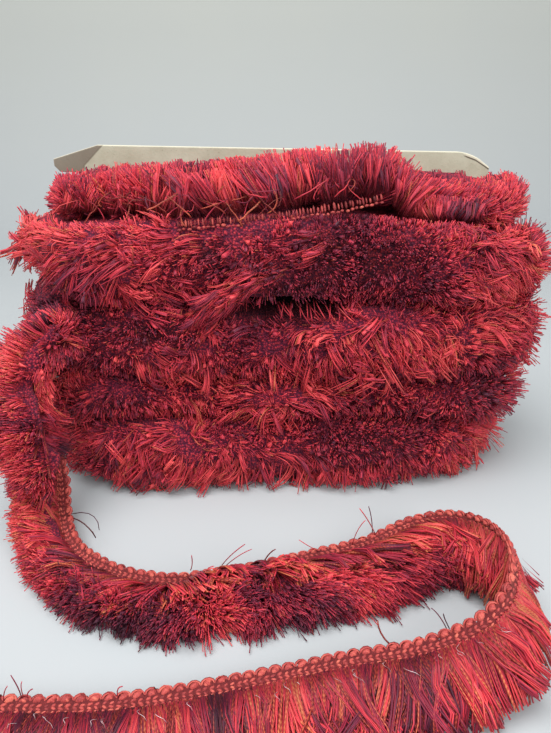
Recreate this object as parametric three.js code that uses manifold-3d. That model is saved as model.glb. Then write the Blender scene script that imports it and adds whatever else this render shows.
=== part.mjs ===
// Roll of brush fringe trim: a chipboard winding card, the trim wound round it in five fluffed-out turns,
// and the loose end, which drops off the left of the roll and lies in an S on the surface in front of it.
// Millimetres, +Z up, +X to the right, +Y away from the viewer.
// The origin is the middle of the flat spot that the roll stands on.
import * as THREE from 'three';
import Module from 'manifold-3d';

const wasm = await Module();
wasm.setup();

// Driving dimensions
const GAP = 0.3; // clearance between neighbouring pieces

const CARD_WIDTH = 234;
const CARD_MIDDLE = -3.4; // the card sits a little to the left in the winding
const CARD_TOP = 181.5;
const CARD_BOTTOM = 6;
const CARD_THICK = 2.6;
const CARD_TILT = 1; // degrees, the card has slipped up a little on the left
const EAR_HEIGHT = 14; // corner ears that keep the turns on the card
const EAR_REACH = 27; // depth of the recess in each side, between the ears
const EAR_FOLD = 16; // the upper left ear is bent back over this length
const EAR_SLOPE = { left: 25, right: 11, down: 7.5 }; // sloped upper corners of the ears
const EAR_NICK = 3; // small bevel on their lower corners
const EAR_BEND = 0.14; // backward step of the bent ear for each millimetre outward

const CORE_HALF = 92; // half the length of the line that the turns are wound round
const END_RADIUS = 52; // of the round ends that the sections of the wound form are spaced along
const AROUND = 54; // sections round the wound form
const GROOVE_DEPTH = 15; // how far the grooves lie in from the crowns of the turns
const LUMP = 2.5; // unevenness of the turns
const FOOT_TAPER = 9; // how far the foot's front falls back towards its right end
const TAPER_BEGINS = 40; // to the right of the card's middle
const RIM_LOCKS = 19; // locks standing out of each turn
const RIM_ROOT = 5; // depth of their roots in the turn
const RIM_LENGTH = 12; // how far they stand out
const RIM_CLEAR = 16; // free space that they leave round the loose end

const BRAID_WIDTH = 5.8; // woven heading without its loops
const BRAID_THICK = 2;
const LOOP_PITCH = 5.1; // scalloped loops along the heading's free edge
const LOOP_DEPTH = 2.2;
const FRINGE_LENGTH = 26; // cut yarn from its root to the tip
const BACKING_WIDTH = 2; // narrow strip that holds the roots of the fringe
const BACKING_THICK = 1.6;
const LOCK_PITCH = 3.7; // locks of fringe along the loose end
const LOCK_DROOP = 0.1; // downward lean gained at each station of a lock
const LOCK_STATIONS = [
  { width: 2.4, thick: 1.2 },
  { width: 2.9, thick: 2.2 },
  { width: 2.7, thick: 2 },
  { width: 1, thick: 0.8 },
];

// Turns of the wound trim from the surface up: foot, low, middle, high and crown.
// top is the height of the groove above a turn, and sagLeft and sagRight its drop at the ends.
// The other columns say how far the turn stands out from the core line on each side.
const TURNS = [
  { top: 40, sagLeft: 0, sagRight: 0, front: 56, right: 45, back: 48, left: 38 },
  { top: 66, sagLeft: 0, sagRight: -3, front: 49, right: 53, back: 45, left: 42 },
  { top: 108, sagLeft: -9, sagRight: 2, front: 52, right: 55, back: 48, left: 46 },
  { top: 152, sagLeft: 4, sagRight: 9, front: 51, right: 54, back: 48, left: 46 },
  { top: 174, sagLeft: 10, sagRight: 8, front: 24, right: 46, back: 22, left: 28 },
];

// Route of the loose heading, from inside the roll to the cut end, along the line where its loops begin.
// roll is the lean of the fringe in degrees: 0 is level to the right of the way the heading runs,
// 90 is straight down, and 180 is level to the left.
const ROUTE = [
  { x: -88, y: -38, z: 91, roll: -5 },
  { x: -104, y: -56, z: 88, roll: -15 },
  { x: -114, y: -66, z: 70, roll: -12 },
  { x: -111, y: -74, z: 48, roll: -4 },
  { x: -107, y: -79, z: 28, roll: 0 },
  { x: -105, y: -88, z: 13, roll: 4 },
  { x: -98, y: -102, z: 8, roll: 8 },
  { x: -81, y: -116.6, z: 7, roll: 9 },
  { x: -49, y: -127, z: 7, roll: 9 },
  { x: -19, y: -123, z: 7, roll: 9 },
  { x: 15, y: -114.5, z: 8, roll: 11 },
  { x: 48, y: -105.5, z: 10, roll: 15 },
  { x: 70, y: -98, z: 15, roll: 25 },
  { x: 85, y: -99.5, z: 20, roll: 43 },
  { x: 96, y: -110, z: 26, roll: 72 },
  { x: 101, y: -129, z: 32, roll: 106 },
  { x: 97, y: -148, z: 35, roll: 126 },
  { x: 89, y: -161, z: 33, roll: 139 },
  { x: 77, y: -167, z: 26, roll: 149 },
  { x: 61, y: -168, z: 17, roll: 158 },
  { x: 28, y: -169, z: 9, roll: 167 },
  { x: -11, y: -176, z: 6.5, roll: 170 },
  { x: -51, y: -183, z: 6, roll: 171 },
  { x: -95, y: -184.5, z: 6, roll: 171 },
  { x: -124, y: -183, z: 6, roll: 171 },
];

// Stretches of the loose fringe, by the rows of the route that they run between.
const STRETCHES = [
  { name: 'loose_fringe_drop', from: 1.5, to: 4 },
  { name: 'loose_fringe_bend', from: 4, to: 6.4 },
  { name: 'loose_fringe_run_left', from: 6.4, to: 8 },
  { name: 'loose_fringe_run_middle', from: 8, to: 9.7 },
  { name: 'loose_fringe_run_right', from: 9.7, to: 11.3 },
  { name: 'loose_fringe_rise', from: 11.3, to: 15.4 },
  { name: 'loose_fringe_fall', from: 15.4, to: 18.8 },
  { name: 'loose_fringe_return_right', from: 18.8, to: 21 },
  { name: 'loose_fringe_return_left', from: 21, to: 24 },
];

const UP = new THREE.Vector3(0, 0, 1);

// Repeatable scatter from -1 to 1 for the thing with this number.
function scatter(number, kind) {
  const wave = Math.sin(number * 12.9898 + kind * 78.233) * 43758.5453;
  return 2 * (wave - Math.floor(wave)) - 1;
}

// Closed skin over rings of corners that run anticlockwise round the way that the rings progress.
// A fan closes each end, from its first corner or, where hub is true, from its middle.
function loft(rings, hub = false) {
  const sides = rings[0].length;
  const corners = rings.flat();
  const faces = [];
  for (let corner = 0; corner < sides * (rings.length - 1); corner += 1) {
    const next = (corner % sides) + 1 < sides ? corner + 1 : corner + 1 - sides;
    faces.push(corner, next, next + sides, corner, next + sides, corner + sides);
  }
  const last = corners.length - sides;
  if (hub) {
    const middle = (ring) => ring.reduce((sum, p) => sum.add(p), new THREE.Vector3()).divideScalar(sides);
    corners.push(middle(rings[0]), middle(rings[rings.length - 1]));
  }
  for (let i = hub ? 0 : 1; i < (hub ? sides : sides - 1); i += 1) {
    const next = (i + 1) % sides;
    const start = hub ? last + sides : 0;
    const end = hub ? start + 1 : last;
    faces.push(start, next, i, end, last + i, last + next);
  }
  return solid(corners, faces);
}

function solid(corners, faces) {
  return new wasm.Manifold(new wasm.Mesh({
    numProp: 3,
    vertProperties: new Float32Array(corners.flatMap((p) => [p.x, p.y, p.z])),
    triVerts: new Uint32Array(faces),
  }));
}

function node(name, shape, color, roughness) {
  const { vertProperties, triVerts } = shape.getMesh();
  const geometry = new THREE.BufferGeometry();
  geometry.setAttribute('position', new THREE.BufferAttribute(new Float32Array(vertProperties), 3));
  geometry.setIndex(new THREE.BufferAttribute(new Uint32Array(triVerts), 1));
  const mesh = new THREE.Mesh(geometry, new THREE.MeshStandardMaterial({ color, roughness, metalness: 0 }));
  mesh.name = name;
  return mesh;
}

// Three-sided lock of yarn through its stations, flat along the given direction.
function lock(stations, across) {
  const rings = stations.map(({ at, width, thick }, i) => {
    const before = stations[Math.max(i - 1, 0)].at;
    const after = stations[Math.min(i + 1, stations.length - 1)].at;
    const along = after.clone().sub(before).normalize();
    const normal = along.clone().cross(across).normalize();
    const side = normal.clone().cross(along);
    const corner = (u, v) => at.clone().addScaledVector(side, u * width).addScaledVector(normal, v * thick);
    return [corner(0.5, -0.5), corner(0, 0.5), corner(-0.5, -0.5)];
  });
  return loft(rings);
}

// Flat plate with this outline in x and z, anticlockwise as seen from the front.
// It is set back by bend for each millimetre to the left of the crease.
function plate(outline, thick, bend, crease = 0) {
  const setBack = (x) => bend * (crease - x);
  const level = (y) => outline.map(([x, z]) => new THREE.Vector3(x, y + setBack(x), z));
  return loft([level(thick / 2), level(-thick / 2)]);
}

// Winding card: a board with four ears, of which the upper left one is bent back.
// grow widens it on every side, for the slot that it leaves in the winding.
function windingCard(grow) {
  const top = CARD_TOP + grow;
  const bottom = CARD_BOTTOM - grow;
  const end = CARD_WIDTH / 2 + grow;
  const waist = CARD_WIDTH / 2 - EAR_REACH + grow;
  const fold = EAR_FOLD - CARD_WIDTH / 2;
  const under = top - EAR_HEIGHT - 2 * grow;
  const thick = CARD_THICK + 2 * grow;
  const inner = waist - EAR_REACH; // the ears' pieces run this far into the board
  const slopeEnd = top - EAR_SLOPE.down;
  const slopeAtFold = top - EAR_SLOPE.down * (1 - EAR_FOLD / EAR_SLOPE.left);
  const right = [
    [inner, under], [end - EAR_NICK, under], [end, under + EAR_NICK], [end, slopeEnd],
    [end - EAR_SLOPE.right, top], [inner, top],
  ];
  const left = [
    [-inner, under], [-inner, top], [EAR_SLOPE.left - end, top], [fold, slopeAtFold], [fold, under],
  ];
  const bent = [
    [fold, under], [fold, slopeAtFold], [-end, slopeEnd], [-end, under + EAR_NICK], [EAR_NICK - end, under],
  ];
  const lower = (outline) => outline.map(([x, z]) => [x, top + bottom - z]).reverse();
  const pieces = [
    plate([[-waist, bottom], [waist, bottom], [waist, top], [-waist, top]], thick, 0),
    plate(right, thick, 0),
    plate(left, thick, 0),
    plate(bent, thick, EAR_BEND, fold),
    plate(lower(right), thick, 0),
    plate(lower([...left.slice(0, 3), ...bent.slice(2)]), thick, 0),
  ];
  const card = pieces.reduce((whole, piece) => whole.add(piece));
  return card.rotate([0, CARD_TILT, 0]).translate([CARD_MIDDLE, 0, 0]);
}

// Place on the core line and the way out from it, at this share of the way round, from the left front.
function placeAround(share) {
  const bow = Math.PI * END_RADIUS;
  let run = (share % 1) * (4 * CORE_HALF + 2 * bow);
  for (const [side, from] of [[1, -Math.PI / 2], [-1, Math.PI / 2]]) {
    if (run < 2 * CORE_HALF) {
      return { core: new THREE.Vector3(side * (run - CORE_HALF), 0, 0), out: new THREE.Vector3(0, -side, 0) };
    }
    run -= 2 * CORE_HALF;
    if (run < bow) {
      const angle = from + (Math.PI * run) / bow;
      const out = new THREE.Vector3(Math.cos(angle), Math.sin(angle), 0);
      return { core: new THREE.Vector3(side * CORE_HALF, 0, 0), out };
    }
    run -= bow;
  }
  return placeAround(0);
}

// Height of the groove above a turn, which wanders a little and sags at the ends.
function grooveHeight(number, share) {
  if (number < 0) {
    return 0;
  }
  const { top, sagLeft, sagRight } = TURNS[number];
  const { core, out } = placeAround(share);
  const toRight = (core.x / CORE_HALF + out.x) / 2;
  const wander = LUMP * Math.sin(2 * Math.PI * (2 * share + 0.31 * number));
  return top - (toRight > 0 ? sagRight : sagLeft) * Math.abs(toRight) + wander;
}

// Point on a turn at this share of the way round.
// rise runs from -1 in the groove below the turn to 1 in the groove above it.
function onTurn(number, share, rise) {
  const turn = TURNS[number];
  const { core, out } = placeAround(share);
  const end = out.x > 0 ? turn.right : turn.left;
  const tapered = THREE.MathUtils.clamp((core.x - TAPER_BEGINS) / (CORE_HALF - TAPER_BEGINS), 0, 1);
  const front = turn.front - (number === 0 ? FOOT_TAPER * tapered : 0);
  const face = out.y > 0 ? turn.back : front;
  const lump = LUMP * Math.sin(2 * Math.PI * ((5 + number) * share + 0.4 * number));
  const reach = end * out.x ** 2 + face * out.y ** 2 + lump;
  const drawnIn = GROOVE_DEPTH * (1 - Math.sqrt(1 - rise ** 2));
  const below = grooveHeight(number - 1, share);
  const above = grooveHeight(number, share);
  const height = THREE.MathUtils.mapLinear(rise, -1, 1, below, above);
  return core.addScaledVector(out, reach - drawnIn).setZ(height);
}

// Locks standing out of a turn all round, splayed up and down like a brush.
function rimLocks(number, clearOf) {
  const locks = [];
  for (let i = 0; i < RIM_LOCKS; i += 1) {
    const tag = 100 * number + i;
    const share = (i + 0.5 + 0.35 * scatter(tag, 1)) / RIM_LOCKS;
    const { out } = placeAround(share);
    const upright = number === TURNS.length - 1 ? 0.9 - 0.4 * Math.abs(out.x) : 0;
    const rise = number === 0 ? 0.35 + 0.45 * scatter(tag, 2) : 0.75 * scatter(tag, 2) + 0.3 * upright;
    const splay = THREE.MathUtils.clamp(rise, -0.8, 0.9) + upright;
    const along = new THREE.Vector3().crossVectors(UP, out);
    const lean = 0.5 * scatter(tag, 3);
    const way = out.clone().addScaledVector(UP, splay).addScaledVector(along, lean).normalize();
    const length = RIM_LENGTH * (1 + 0.3 * scatter(tag, 4));
    const skin = onTurn(number, share, Math.min(rise, 0.9));
    const at = (step) => skin.clone().addScaledVector(way, step);
    if (clearOf.every((point) => point.distanceTo(at(length)) > RIM_CLEAR)) {
      locks.push(lock([
        { at: at(-RIM_ROOT), width: 9, thick: 6 },
        { at: at(length / 2), width: 7.5, thick: 4 },
        { at: at(length), width: 2.2, thick: 1.2 },
      ], along));
    }
  }
  return locks;
}

// Wound form of the trim on the card: a stack of turns on a flat foot, with locks at its rim.
function windings(clearOf) {
  const ring = (number, rise) => Array.from({ length: AROUND }, (_, i) => onTurn(number, i / AROUND, rise));
  const rings = [ring(0, -1)];
  TURNS.forEach((_, number) => {
    for (const rise of number === 0 ? [-0.8, -0.3, 0.3, 0.75, 0.95] : [-0.95, -0.6, 0, 0.6, 0.95]) {
      rings.push(ring(number, rise));
    }
  });
  rings.push(ring(TURNS.length - 1, 1));
  const locks = TURNS.flatMap((_, number) => rimLocks(number, clearOf));
  return locks.reduce((form, piece) => form.add(piece), loft(rings, true));
}

const routeCurve = new THREE.CatmullRomCurve3(ROUTE.map(({ x, y, z }) => new THREE.Vector3(x, y, z)));

// Section of the loose end at a row of the route, or between two: the place, the way on,
// the way that the fringe points, and the normal of the heading's face.
function sectionAt(row) {
  const t = row / (ROUTE.length - 1);
  const first = Math.min(Math.floor(row), ROUTE.length - 2);
  const roll = THREE.MathUtils.lerp(ROUTE[first].roll, ROUTE[first + 1].roll, row - first);
  const along = routeCurve.getTangent(t);
  const right = new THREE.Vector3().crossVectors(along, UP).normalize();
  const fringe = right.applyAxisAngle(along, THREE.MathUtils.degToRad(roll));
  const normal = new THREE.Vector3().crossVectors(along, fringe);
  return { place: routeCurve.getPoint(t), along, fringe, normal };
}

// Rows of the route between two rows, at even steps along the loose end.
function evenRows(from, to, pitch) {
  const fine = 400;
  const rows = [from];
  let place = sectionAt(from).place;
  let walked = 0;
  for (let i = 1; i <= fine; i += 1) {
    const row = THREE.MathUtils.lerp(from, to, i / fine);
    const next = sectionAt(row).place;
    walked += next.distanceTo(place);
    place = next;
    if (walked >= pitch) {
      rows.push(row);
      walked -= pitch;
    }
  }
  return rows;
}

// Corner of a section, across towards the fringe and out of the heading's face.
function corner({ place, fringe, normal }, across, out) {
  return place.clone().addScaledVector(fringe, across).addScaledVector(normal, out);
}

// Plain strip beside the route, between two distances across it.
function strip(rows, near, far, thick) {
  const ring = (section) => [
    corner(section, far, -thick / 2), corner(section, far, thick / 2),
    corner(section, near, thick / 2), corner(section, near, -thick / 2),
  ];
  return loft(rows.map((row) => ring(sectionAt(row))));
}

// Seat that the start of the loose heading leaves in the roll.
function braidSeat() {
  return strip(evenRows(0, 3, LOOP_PITCH / 2), -LOOP_DEPTH - GAP, BRAID_WIDTH + GAP, BRAID_THICK + 2 * GAP);
}

// Heading of the loose end: a woven strip with a scalloped free edge, thinner at its loops.
function looseBraid() {
  const start = 0.02; // row at which the heading clears the bottom of its seat
  const crown = BRAID_THICK / 2;
  const middle = BRAID_WIDTH / 2;
  const rings = evenRows(start, ROUTE.length - 1, LOOP_PITCH / 2).map((row, i) => {
    const section = sectionAt(row);
    const edge = -(i % 2) * LOOP_DEPTH;
    return [
      corner(section, BRAID_WIDTH, -crown), corner(section, BRAID_WIDTH, crown),
      corner(section, middle, crown), corner(section, edge, 0.6 * crown),
      corner(section, edge, -0.6 * crown), corner(section, middle, -crown),
    ];
  });
  return loft(rings);
}

// One lock of the loose fringe, which droops until it meets the surface and then lies level on it.
// sway is how far its yarns stray along the heading.
function fringeLock(row, sway, tag) {
  const section = sectionAt(row);
  const root = BRAID_WIDTH + GAP + BACKING_WIDTH / 2;
  const outward = new THREE.Vector3(section.fringe.x, section.fringe.y, 0);
  const splay = section.normal.clone().multiplyScalar(0.12 * scatter(tag, 5));
  const way = section.fringe.clone().addScaledVector(section.along, sway).add(splay).normalize();
  const step = (FRINGE_LENGTH * (1 + 0.08 * scatter(tag, 7))) / (LOCK_STATIONS.length - 1);
  const place = corner(section, root, 0);
  const stations = LOCK_STATIONS.map((size, i) => {
    if (i > 0) {
      way.addScaledVector(UP, -LOCK_DROOP).normalize();
      place.addScaledVector(way, step);
      const rest = size.thick / 2 + GAP;
      if (place.z < rest) {
        place.z = rest;
        way.setZ(0).addScaledVector(outward, 0.3).normalize();
      }
    }
    return { at: place.clone(), ...size };
  });
  return lock(stations, section.along);
}

// One stretch of the loose fringe: a narrow backing alongside the heading, with its locks.
// The locks stray least at the stretch's ends, so that its neighbours stay clear.
function looseFringe(from, to, tag) {
  const near = BRAID_WIDTH + GAP;
  const rows = evenRows(from, to, LOCK_PITCH);
  const locks = rows.slice(1, -1).map((row, i) => {
    const sway = 0.1 * Math.sin((Math.PI * i) / (rows.length - 3)) * scatter(tag + i, 6);
    return fringeLock(row, sway, tag + i);
  });
  const backing = strip(rows, near, near + BACKING_WIDTH, BACKING_THICK);
  return locks.reduce((fringe, piece) => fringe.add(piece), backing);
}

const CARDBOARD = 0xb3a68f;
const WOUND_RED = 0x9c2832;
const BRAID_RED = 0x8f2a26;
const FRINGE_RED = 0xb02a33;

const dropRows = evenRows(0, 6, 6);
const besideDrop = [0, FRINGE_LENGTH / 2].flatMap((across) => (
  dropRows.map((row) => corner(sectionAt(row), across, 0))
));
const wound = windings(besideDrop).subtract(windingCard(GAP)).subtract(braidSeat());

const roll = new THREE.Group();
roll.add(node('winding_card', windingCard(0), CARDBOARD, 0.9));
roll.add(node('wound_trim', wound, WOUND_RED, 0.85));

const looseEnd = new THREE.Group();
looseEnd.add(node('loose_braid', looseBraid(), BRAID_RED, 0.8));
STRETCHES.forEach(({ name, from, to }, i) => {
  looseEnd.add(node(name, looseFringe(from, to, 1000 + 100 * i), FRINGE_RED, 0.8));
});

const trimRoll = new THREE.Group();
trimRoll.add(roll, looseEnd);

export default trimRoll;
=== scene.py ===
import math

import bmesh
import bpy
import numpy as np
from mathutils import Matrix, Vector, noise
from mathutils.bvhtree import BVHTree


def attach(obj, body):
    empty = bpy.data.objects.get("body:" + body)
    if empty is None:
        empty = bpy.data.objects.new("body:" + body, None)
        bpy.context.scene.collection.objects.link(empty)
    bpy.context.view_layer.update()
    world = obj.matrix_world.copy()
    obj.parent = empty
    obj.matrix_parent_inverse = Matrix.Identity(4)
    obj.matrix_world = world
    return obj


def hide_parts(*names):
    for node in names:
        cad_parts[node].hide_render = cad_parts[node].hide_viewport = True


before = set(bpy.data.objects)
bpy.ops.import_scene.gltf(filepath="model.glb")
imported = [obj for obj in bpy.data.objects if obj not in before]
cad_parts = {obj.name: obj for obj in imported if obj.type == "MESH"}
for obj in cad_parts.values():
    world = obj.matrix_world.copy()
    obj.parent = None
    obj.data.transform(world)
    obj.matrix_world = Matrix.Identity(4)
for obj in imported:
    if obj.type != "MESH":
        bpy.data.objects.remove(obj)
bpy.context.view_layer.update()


# Winding card: one sheet of grey-beige chipboard, die-cut with an ear at each corner to keep the trim on.
# Handling has rubbed its cut edges soft and pale, creased the upper left ear and dented the top edge. The
# bent-back part of the ear, its crease and the split at the right corner are darkened with painted shade.
MM = 0.001
EDGE_WEAR = 0.55 * MM
CARD_FACE = ((0.39, 0.375, 0.28, 1), (0.52, 0.51, 0.4, 1))
CARD_CUT = (0.66, 0.62, 0.49, 1)
CARD_FLECK = (0.2, 0.165, 0.12, 1)
# Painted shade of the bent-back part of the left ear, and of the ear's crease and the right corner's split.
CARD_FOLD_SHADE = (0.16, 0.127, 0.1, 1)
CARD_CREASE_SHADE = (0.09, 0.07, 0.05, 1)
CORNER_ROUND = 7 * MM
RIGHT_CORNER = MM * 95, MM * 176  # across and up, where the upper right corner begins
# Lines on the card's face, each the slope and height of its two straight runs, in millimetres:
# the crease of the left ear, across by up, and the split where the right corner's layers part, up by across.
EAR_CREASE = ((0.26, -145.3), (1.095, -289.7))
CORNER_SPLIT = ((-0.342, 212.7), (-0.584, 239.0))
SPLIT_BEGINS = 101.5


def put(material, kind, inputs, **settings):
    """Node of this kind in the material; each input is a plain value or the socket that feeds it."""
    node = material.node_tree.nodes.new("ShaderNode" + kind)
    for key, value in settings.items():
        setattr(node, key, value)
    for key, value in inputs.items():
        if isinstance(value, bpy.types.NodeSocket):
            material.node_tree.links.new(value, node.inputs[key])
        else:
            node.inputs[key].default_value = value
    return node


def ramp(material, factor, stops):
    """Colour that runs through the (position, colour) stops as the factor goes from 0 to 1."""
    node = put(material, "ValToRGB", {"Fac": factor})
    band = node.color_ramp.elements
    while len(band) < len(stops):
        band.new(1.0)
    for element, (position, colour) in zip(band, stops):
        element.position = position
        element.color = colour
    return node.outputs["Color"]


def maths(material, operation, *values):
    """Socket of what the operation makes of these values or sockets."""
    return put(material, "Math", dict(enumerate(values)), operation=operation).outputs["Value"]


def ranged(material, value, from_min, from_max, to_max=1.0, to_min=0.0):
    """Socket that goes evenly from one level to the other as the value goes through its range."""
    return put(material, "MapRange", {
        "Value": value, "From Min": from_min, "From Max": from_max, "To Min": to_min, "To Max": to_max,
    }).outputs["Result"]


def tinted(material, factor, under, over, blend="MIX"):
    """Socket of one colour laid over another."""
    return put(material, "Mix", {"Factor": factor, "A": under, "B": over},
               data_type="RGBA", blend_type=blend).outputs["Result"]


def grain(material, place, scale, detail, roughness=0.5, **settings):
    """Socket of an uneven grain."""
    return put(material, "TexNoise", {
        "Vector": place, "Scale": scale, "Detail": detail, "Roughness": roughness,
    }, **settings).outputs["Fac"]


def own_place(material):
    return put(material, "TexCoord", {}).outputs["Object"]


def surface(name, values):
    """Material whose shader has these values all over."""
    material = bpy.data.materials.new(name)
    material.use_nodes = True
    for socket, value in values.items():
        material.node_tree.nodes["Principled BSDF"].inputs[socket].default_value = value
    return material


def dressed(material, colour, height=None, strength=0.0, depth=0.0):
    """The material with its colour and, where a height is given, its low relief."""
    shader = material.node_tree.nodes["Principled BSDF"]
    material.node_tree.links.new(colour, shader.inputs["Base Color"])
    if height is not None:
        bump = put(material, "Bump", {"Height": height, "Strength": strength, "Distance": depth})
        material.node_tree.links.new(bump.outputs["Normal"], shader.inputs["Normal"])
    return material


def chipboard():
    """Mottled grey-beige board with dark flecks on its faces, pale, rubbed cut edges, and painted shade on
    the bent-back ear, its crease and the split corner.
    """
    material = surface("chipboard", {"Roughness": 0.85, "Specular IOR Level": 0.15})
    place = own_place(material)
    pulp = grain(material, place, 900.0, 3.0)
    mottle = grain(material, place, 55.0, 8.0, 0.7)
    face = ramp(material, mottle, [(0.3, CARD_FACE[0]), (0.68, CARD_FACE[1])])
    wear_and_shade = tinted(material, ranged(material, pulp, 0.66, 0.76, 0.55), face, CARD_FLECK)
    spot = put(material, "SeparateXYZ", {"Vector": place})
    across, up = spot.outputs["X"], spot.outputs["Z"]

    def past(value, other, runs, outer):
        """How far a value lies past a bent line of two runs over the other, in metres."""
        heights = [maths(material, "MULTIPLY_ADD", other, slope, high * MM) for slope, high in runs]
        return maths(material, "SUBTRACT", value, maths(material, outer, *heights))

    def between(value, from_min, from_max, to_max=1.0):
        return ranged(material, value, from_min * MM, from_max * MM, to_max)

    fold = past(across, up, EAR_CREASE, "MAXIMUM")
    split = past(up, across, CORNER_SPLIT, "MINIMUM")
    begun = between(across, SPLIT_BEGINS, SPLIT_BEGINS + 2)
    peeled = maths(material, "MULTIPLY", between(split, 0.0, 0.5, 0.7), begun)
    crease = between(maths(material, "ABSOLUTE", fold), 0.8, 0.2, 0.5)
    crack = maths(material, "MULTIPLY", between(maths(material, "ABSOLUTE", split), 0.55, 0.15), begun)
    # Painted shade: the part of the ear beyond its crease is darkened, as it is bent back away from the
    # light.
    wear_and_shade = tinted(material, between(fold, 0.5, -0.5, 0.8), wear_and_shade, CARD_FOLD_SHADE)
    # Painted shade: the crease and the split between the corner's layers are drawn dark; the peeled layer
    # shows its own pale colour.
    for factor, colour in ((peeled, CARD_CUT), (crease, CARD_CREASE_SHADE), (crack, CARD_CREASE_SHADE)):
        wear_and_shade = tinted(material, factor, wear_and_shade, colour)
    normal = put(material, "SeparateXYZ", {"Vector": put(material, "NewGeometry", {}).outputs["Normal"]})
    facing = maths(material, "ABSOLUTE", normal.outputs["Y"])
    wear_and_shade = tinted(material, ranged(material, facing, 0.93, 0.4, 0.85), wear_and_shade, CARD_CUT)
    return dressed(material, wear_and_shade, pulp, 0.25, 0.4 * MM)


def finished(name, mesh, material):
    """Piece of the object with this mesh, riding on the whole part."""
    mesh.materials.append(material)
    piece = bpy.data.objects.new(name, mesh)
    bpy.context.scene.collection.objects.link(piece)
    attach(piece, "root")
    return piece


def mesh_of(name, form):
    mesh = bpy.data.meshes.new(name)
    form.to_mesh(mesh)
    form.free()
    return mesh


board = bmesh.new()
board.from_mesh(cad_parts["winding_card"].data)
bmesh.ops.remove_doubles(board, verts=board.verts, dist=0.02 * MM)
bmesh.ops.dissolve_limit(board, angle_limit=0.01, verts=board.verts, edges=board.edges)
corner = [edge for edge in board.edges
          if all(vert.co.x > RIGHT_CORNER[0] and vert.co.z > RIGHT_CORNER[1] for vert in edge.verts)
          and abs(edge.verts[0].co.y - edge.verts[1].co.y) > 2 * MM]
bmesh.ops.bevel(board, geom=corner, offset=CORNER_ROUND, offset_type="OFFSET", affect="EDGES",
                segments=5, profile=0.5, material=-1)
cut_edges = [edge for edge in board.edges if edge.is_manifold and edge.calc_face_angle() > 1.0]
bmesh.ops.bevel(board, geom=cut_edges, offset=EDGE_WEAR, offset_type="OFFSET", affect="EDGES",
                segments=2, profile=0.5, material=-1)
card = finished("card_board", mesh_of("card_board", board), chipboard())
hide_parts("winding_card")


# Pile of the winding: the cut yarns of the five stacked turns, packed shoulder to shoulder and crushed
# into lumps. It falls back in the grooves between the turns, and in front two turns have parted
# and left a dark hollow.
CORE_HALF = 92 * MM  # half the line that the turns are wound round
END_RADIUS = 52 * MM
GROOVE_DEPTH = 12.5 * MM
LUMP = 2.5 * MM
FOOT_TAPER = 9 * MM  # how far the foot's front falls back towards its right end
TAPER_BEGINS = 40 * MM
PILE_DEPTH = 2.4 * MM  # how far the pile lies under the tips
PILE_LUMPS = [(10, 1.2), (3.5, 0.7)]  # sizes and depths of its lumps, in millimetres
PILE_AROUND = 260
PILE_ROWS = 15  # of faces up each turn
PILE_REDS = [
    (0.0, (0.03, 0.005, 0.02, 1)),
    (0.35, (0.12, 0.011, 0.032, 1)),
    (0.7, (0.36, 0.022, 0.044, 1)),
    (1.0, (0.54, 0.05, 0.06, 1)),
]
HOLLOW = MM * np.array((6, 106.5, 36, 8))  # across, up, half wide and half high
HOLLOW_DEPTH = 22 * MM
# Patches of painted shade on the front, where it lies in shadow: the middle and half size of each, across and
# up in millimetres.
SHADOWED_PATCHES = np.array([
    (38, 134, 45, 18), (12, 119, 22, 6), (124, 61, 18, 12), (60, 34, 40, 13),
    (-98, 108, 24, 14), (-60, 96, 26, 7), (-30, 134, 12, 8), (-84, 48, 14, 8),
])
SHADOW_DARKNESS = 0.68  # how dark their painted shade is, beside the hollow's
# From the surface up: foot, low, middle, high and crown. top is the groove above a turn, sag its drop at the
# ends, and the rest how far the turn stands out from the core line on each side, in millimetres.
TURN_SIZES = {
    "top": (40, 66, 108, 152, 174),
    "sag_left": (0, 0, -9, 4, 10),
    "sag_right": (0, -3, 2, 9, 8),
    "front": (56, 49, 52, 51, 24),
    "right": (45, 53, 55, 54, 46),
    "back": (48, 45, 48, 48, 22),
    "left": (38, 42, 46, 46, 28),
}
TURNS = {column: MM * np.array(sizes) for column, sizes in TURN_SIZES.items()}
PERIMETER = 4 * CORE_HALF + 2 * math.pi * END_RADIUS


def place_around(share):
    """Place on the core line and the way out from it, at a share of the way round from the left front."""
    run = (share % 1.0) * PERIMETER
    side = np.where(run < PERIMETER / 2, 1.0, -1.0)
    run = run % (PERIMETER / 2)
    core = side * (np.minimum(run, 2 * CORE_HALF) - CORE_HALF)
    angle = np.maximum(run - 2 * CORE_HALF, 0.0) / END_RADIUS - math.pi / 2
    return core, side * np.cos(angle), side * np.sin(angle)


def groove_height(number, share):
    """Height of the groove above a turn, which wanders and sags towards the ends."""
    core, out_x, _ = place_around(share)
    to_right = (core / CORE_HALF + out_x) / 2
    sag = np.where(to_right > 0, TURNS["sag_right"][number], TURNS["sag_left"][number])
    wander = LUMP * np.sin(2 * math.pi * (2 * share + 0.31 * number))
    return np.where(number < 0, 0.0, TURNS["top"][number] - sag * np.abs(to_right) + wander)


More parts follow.
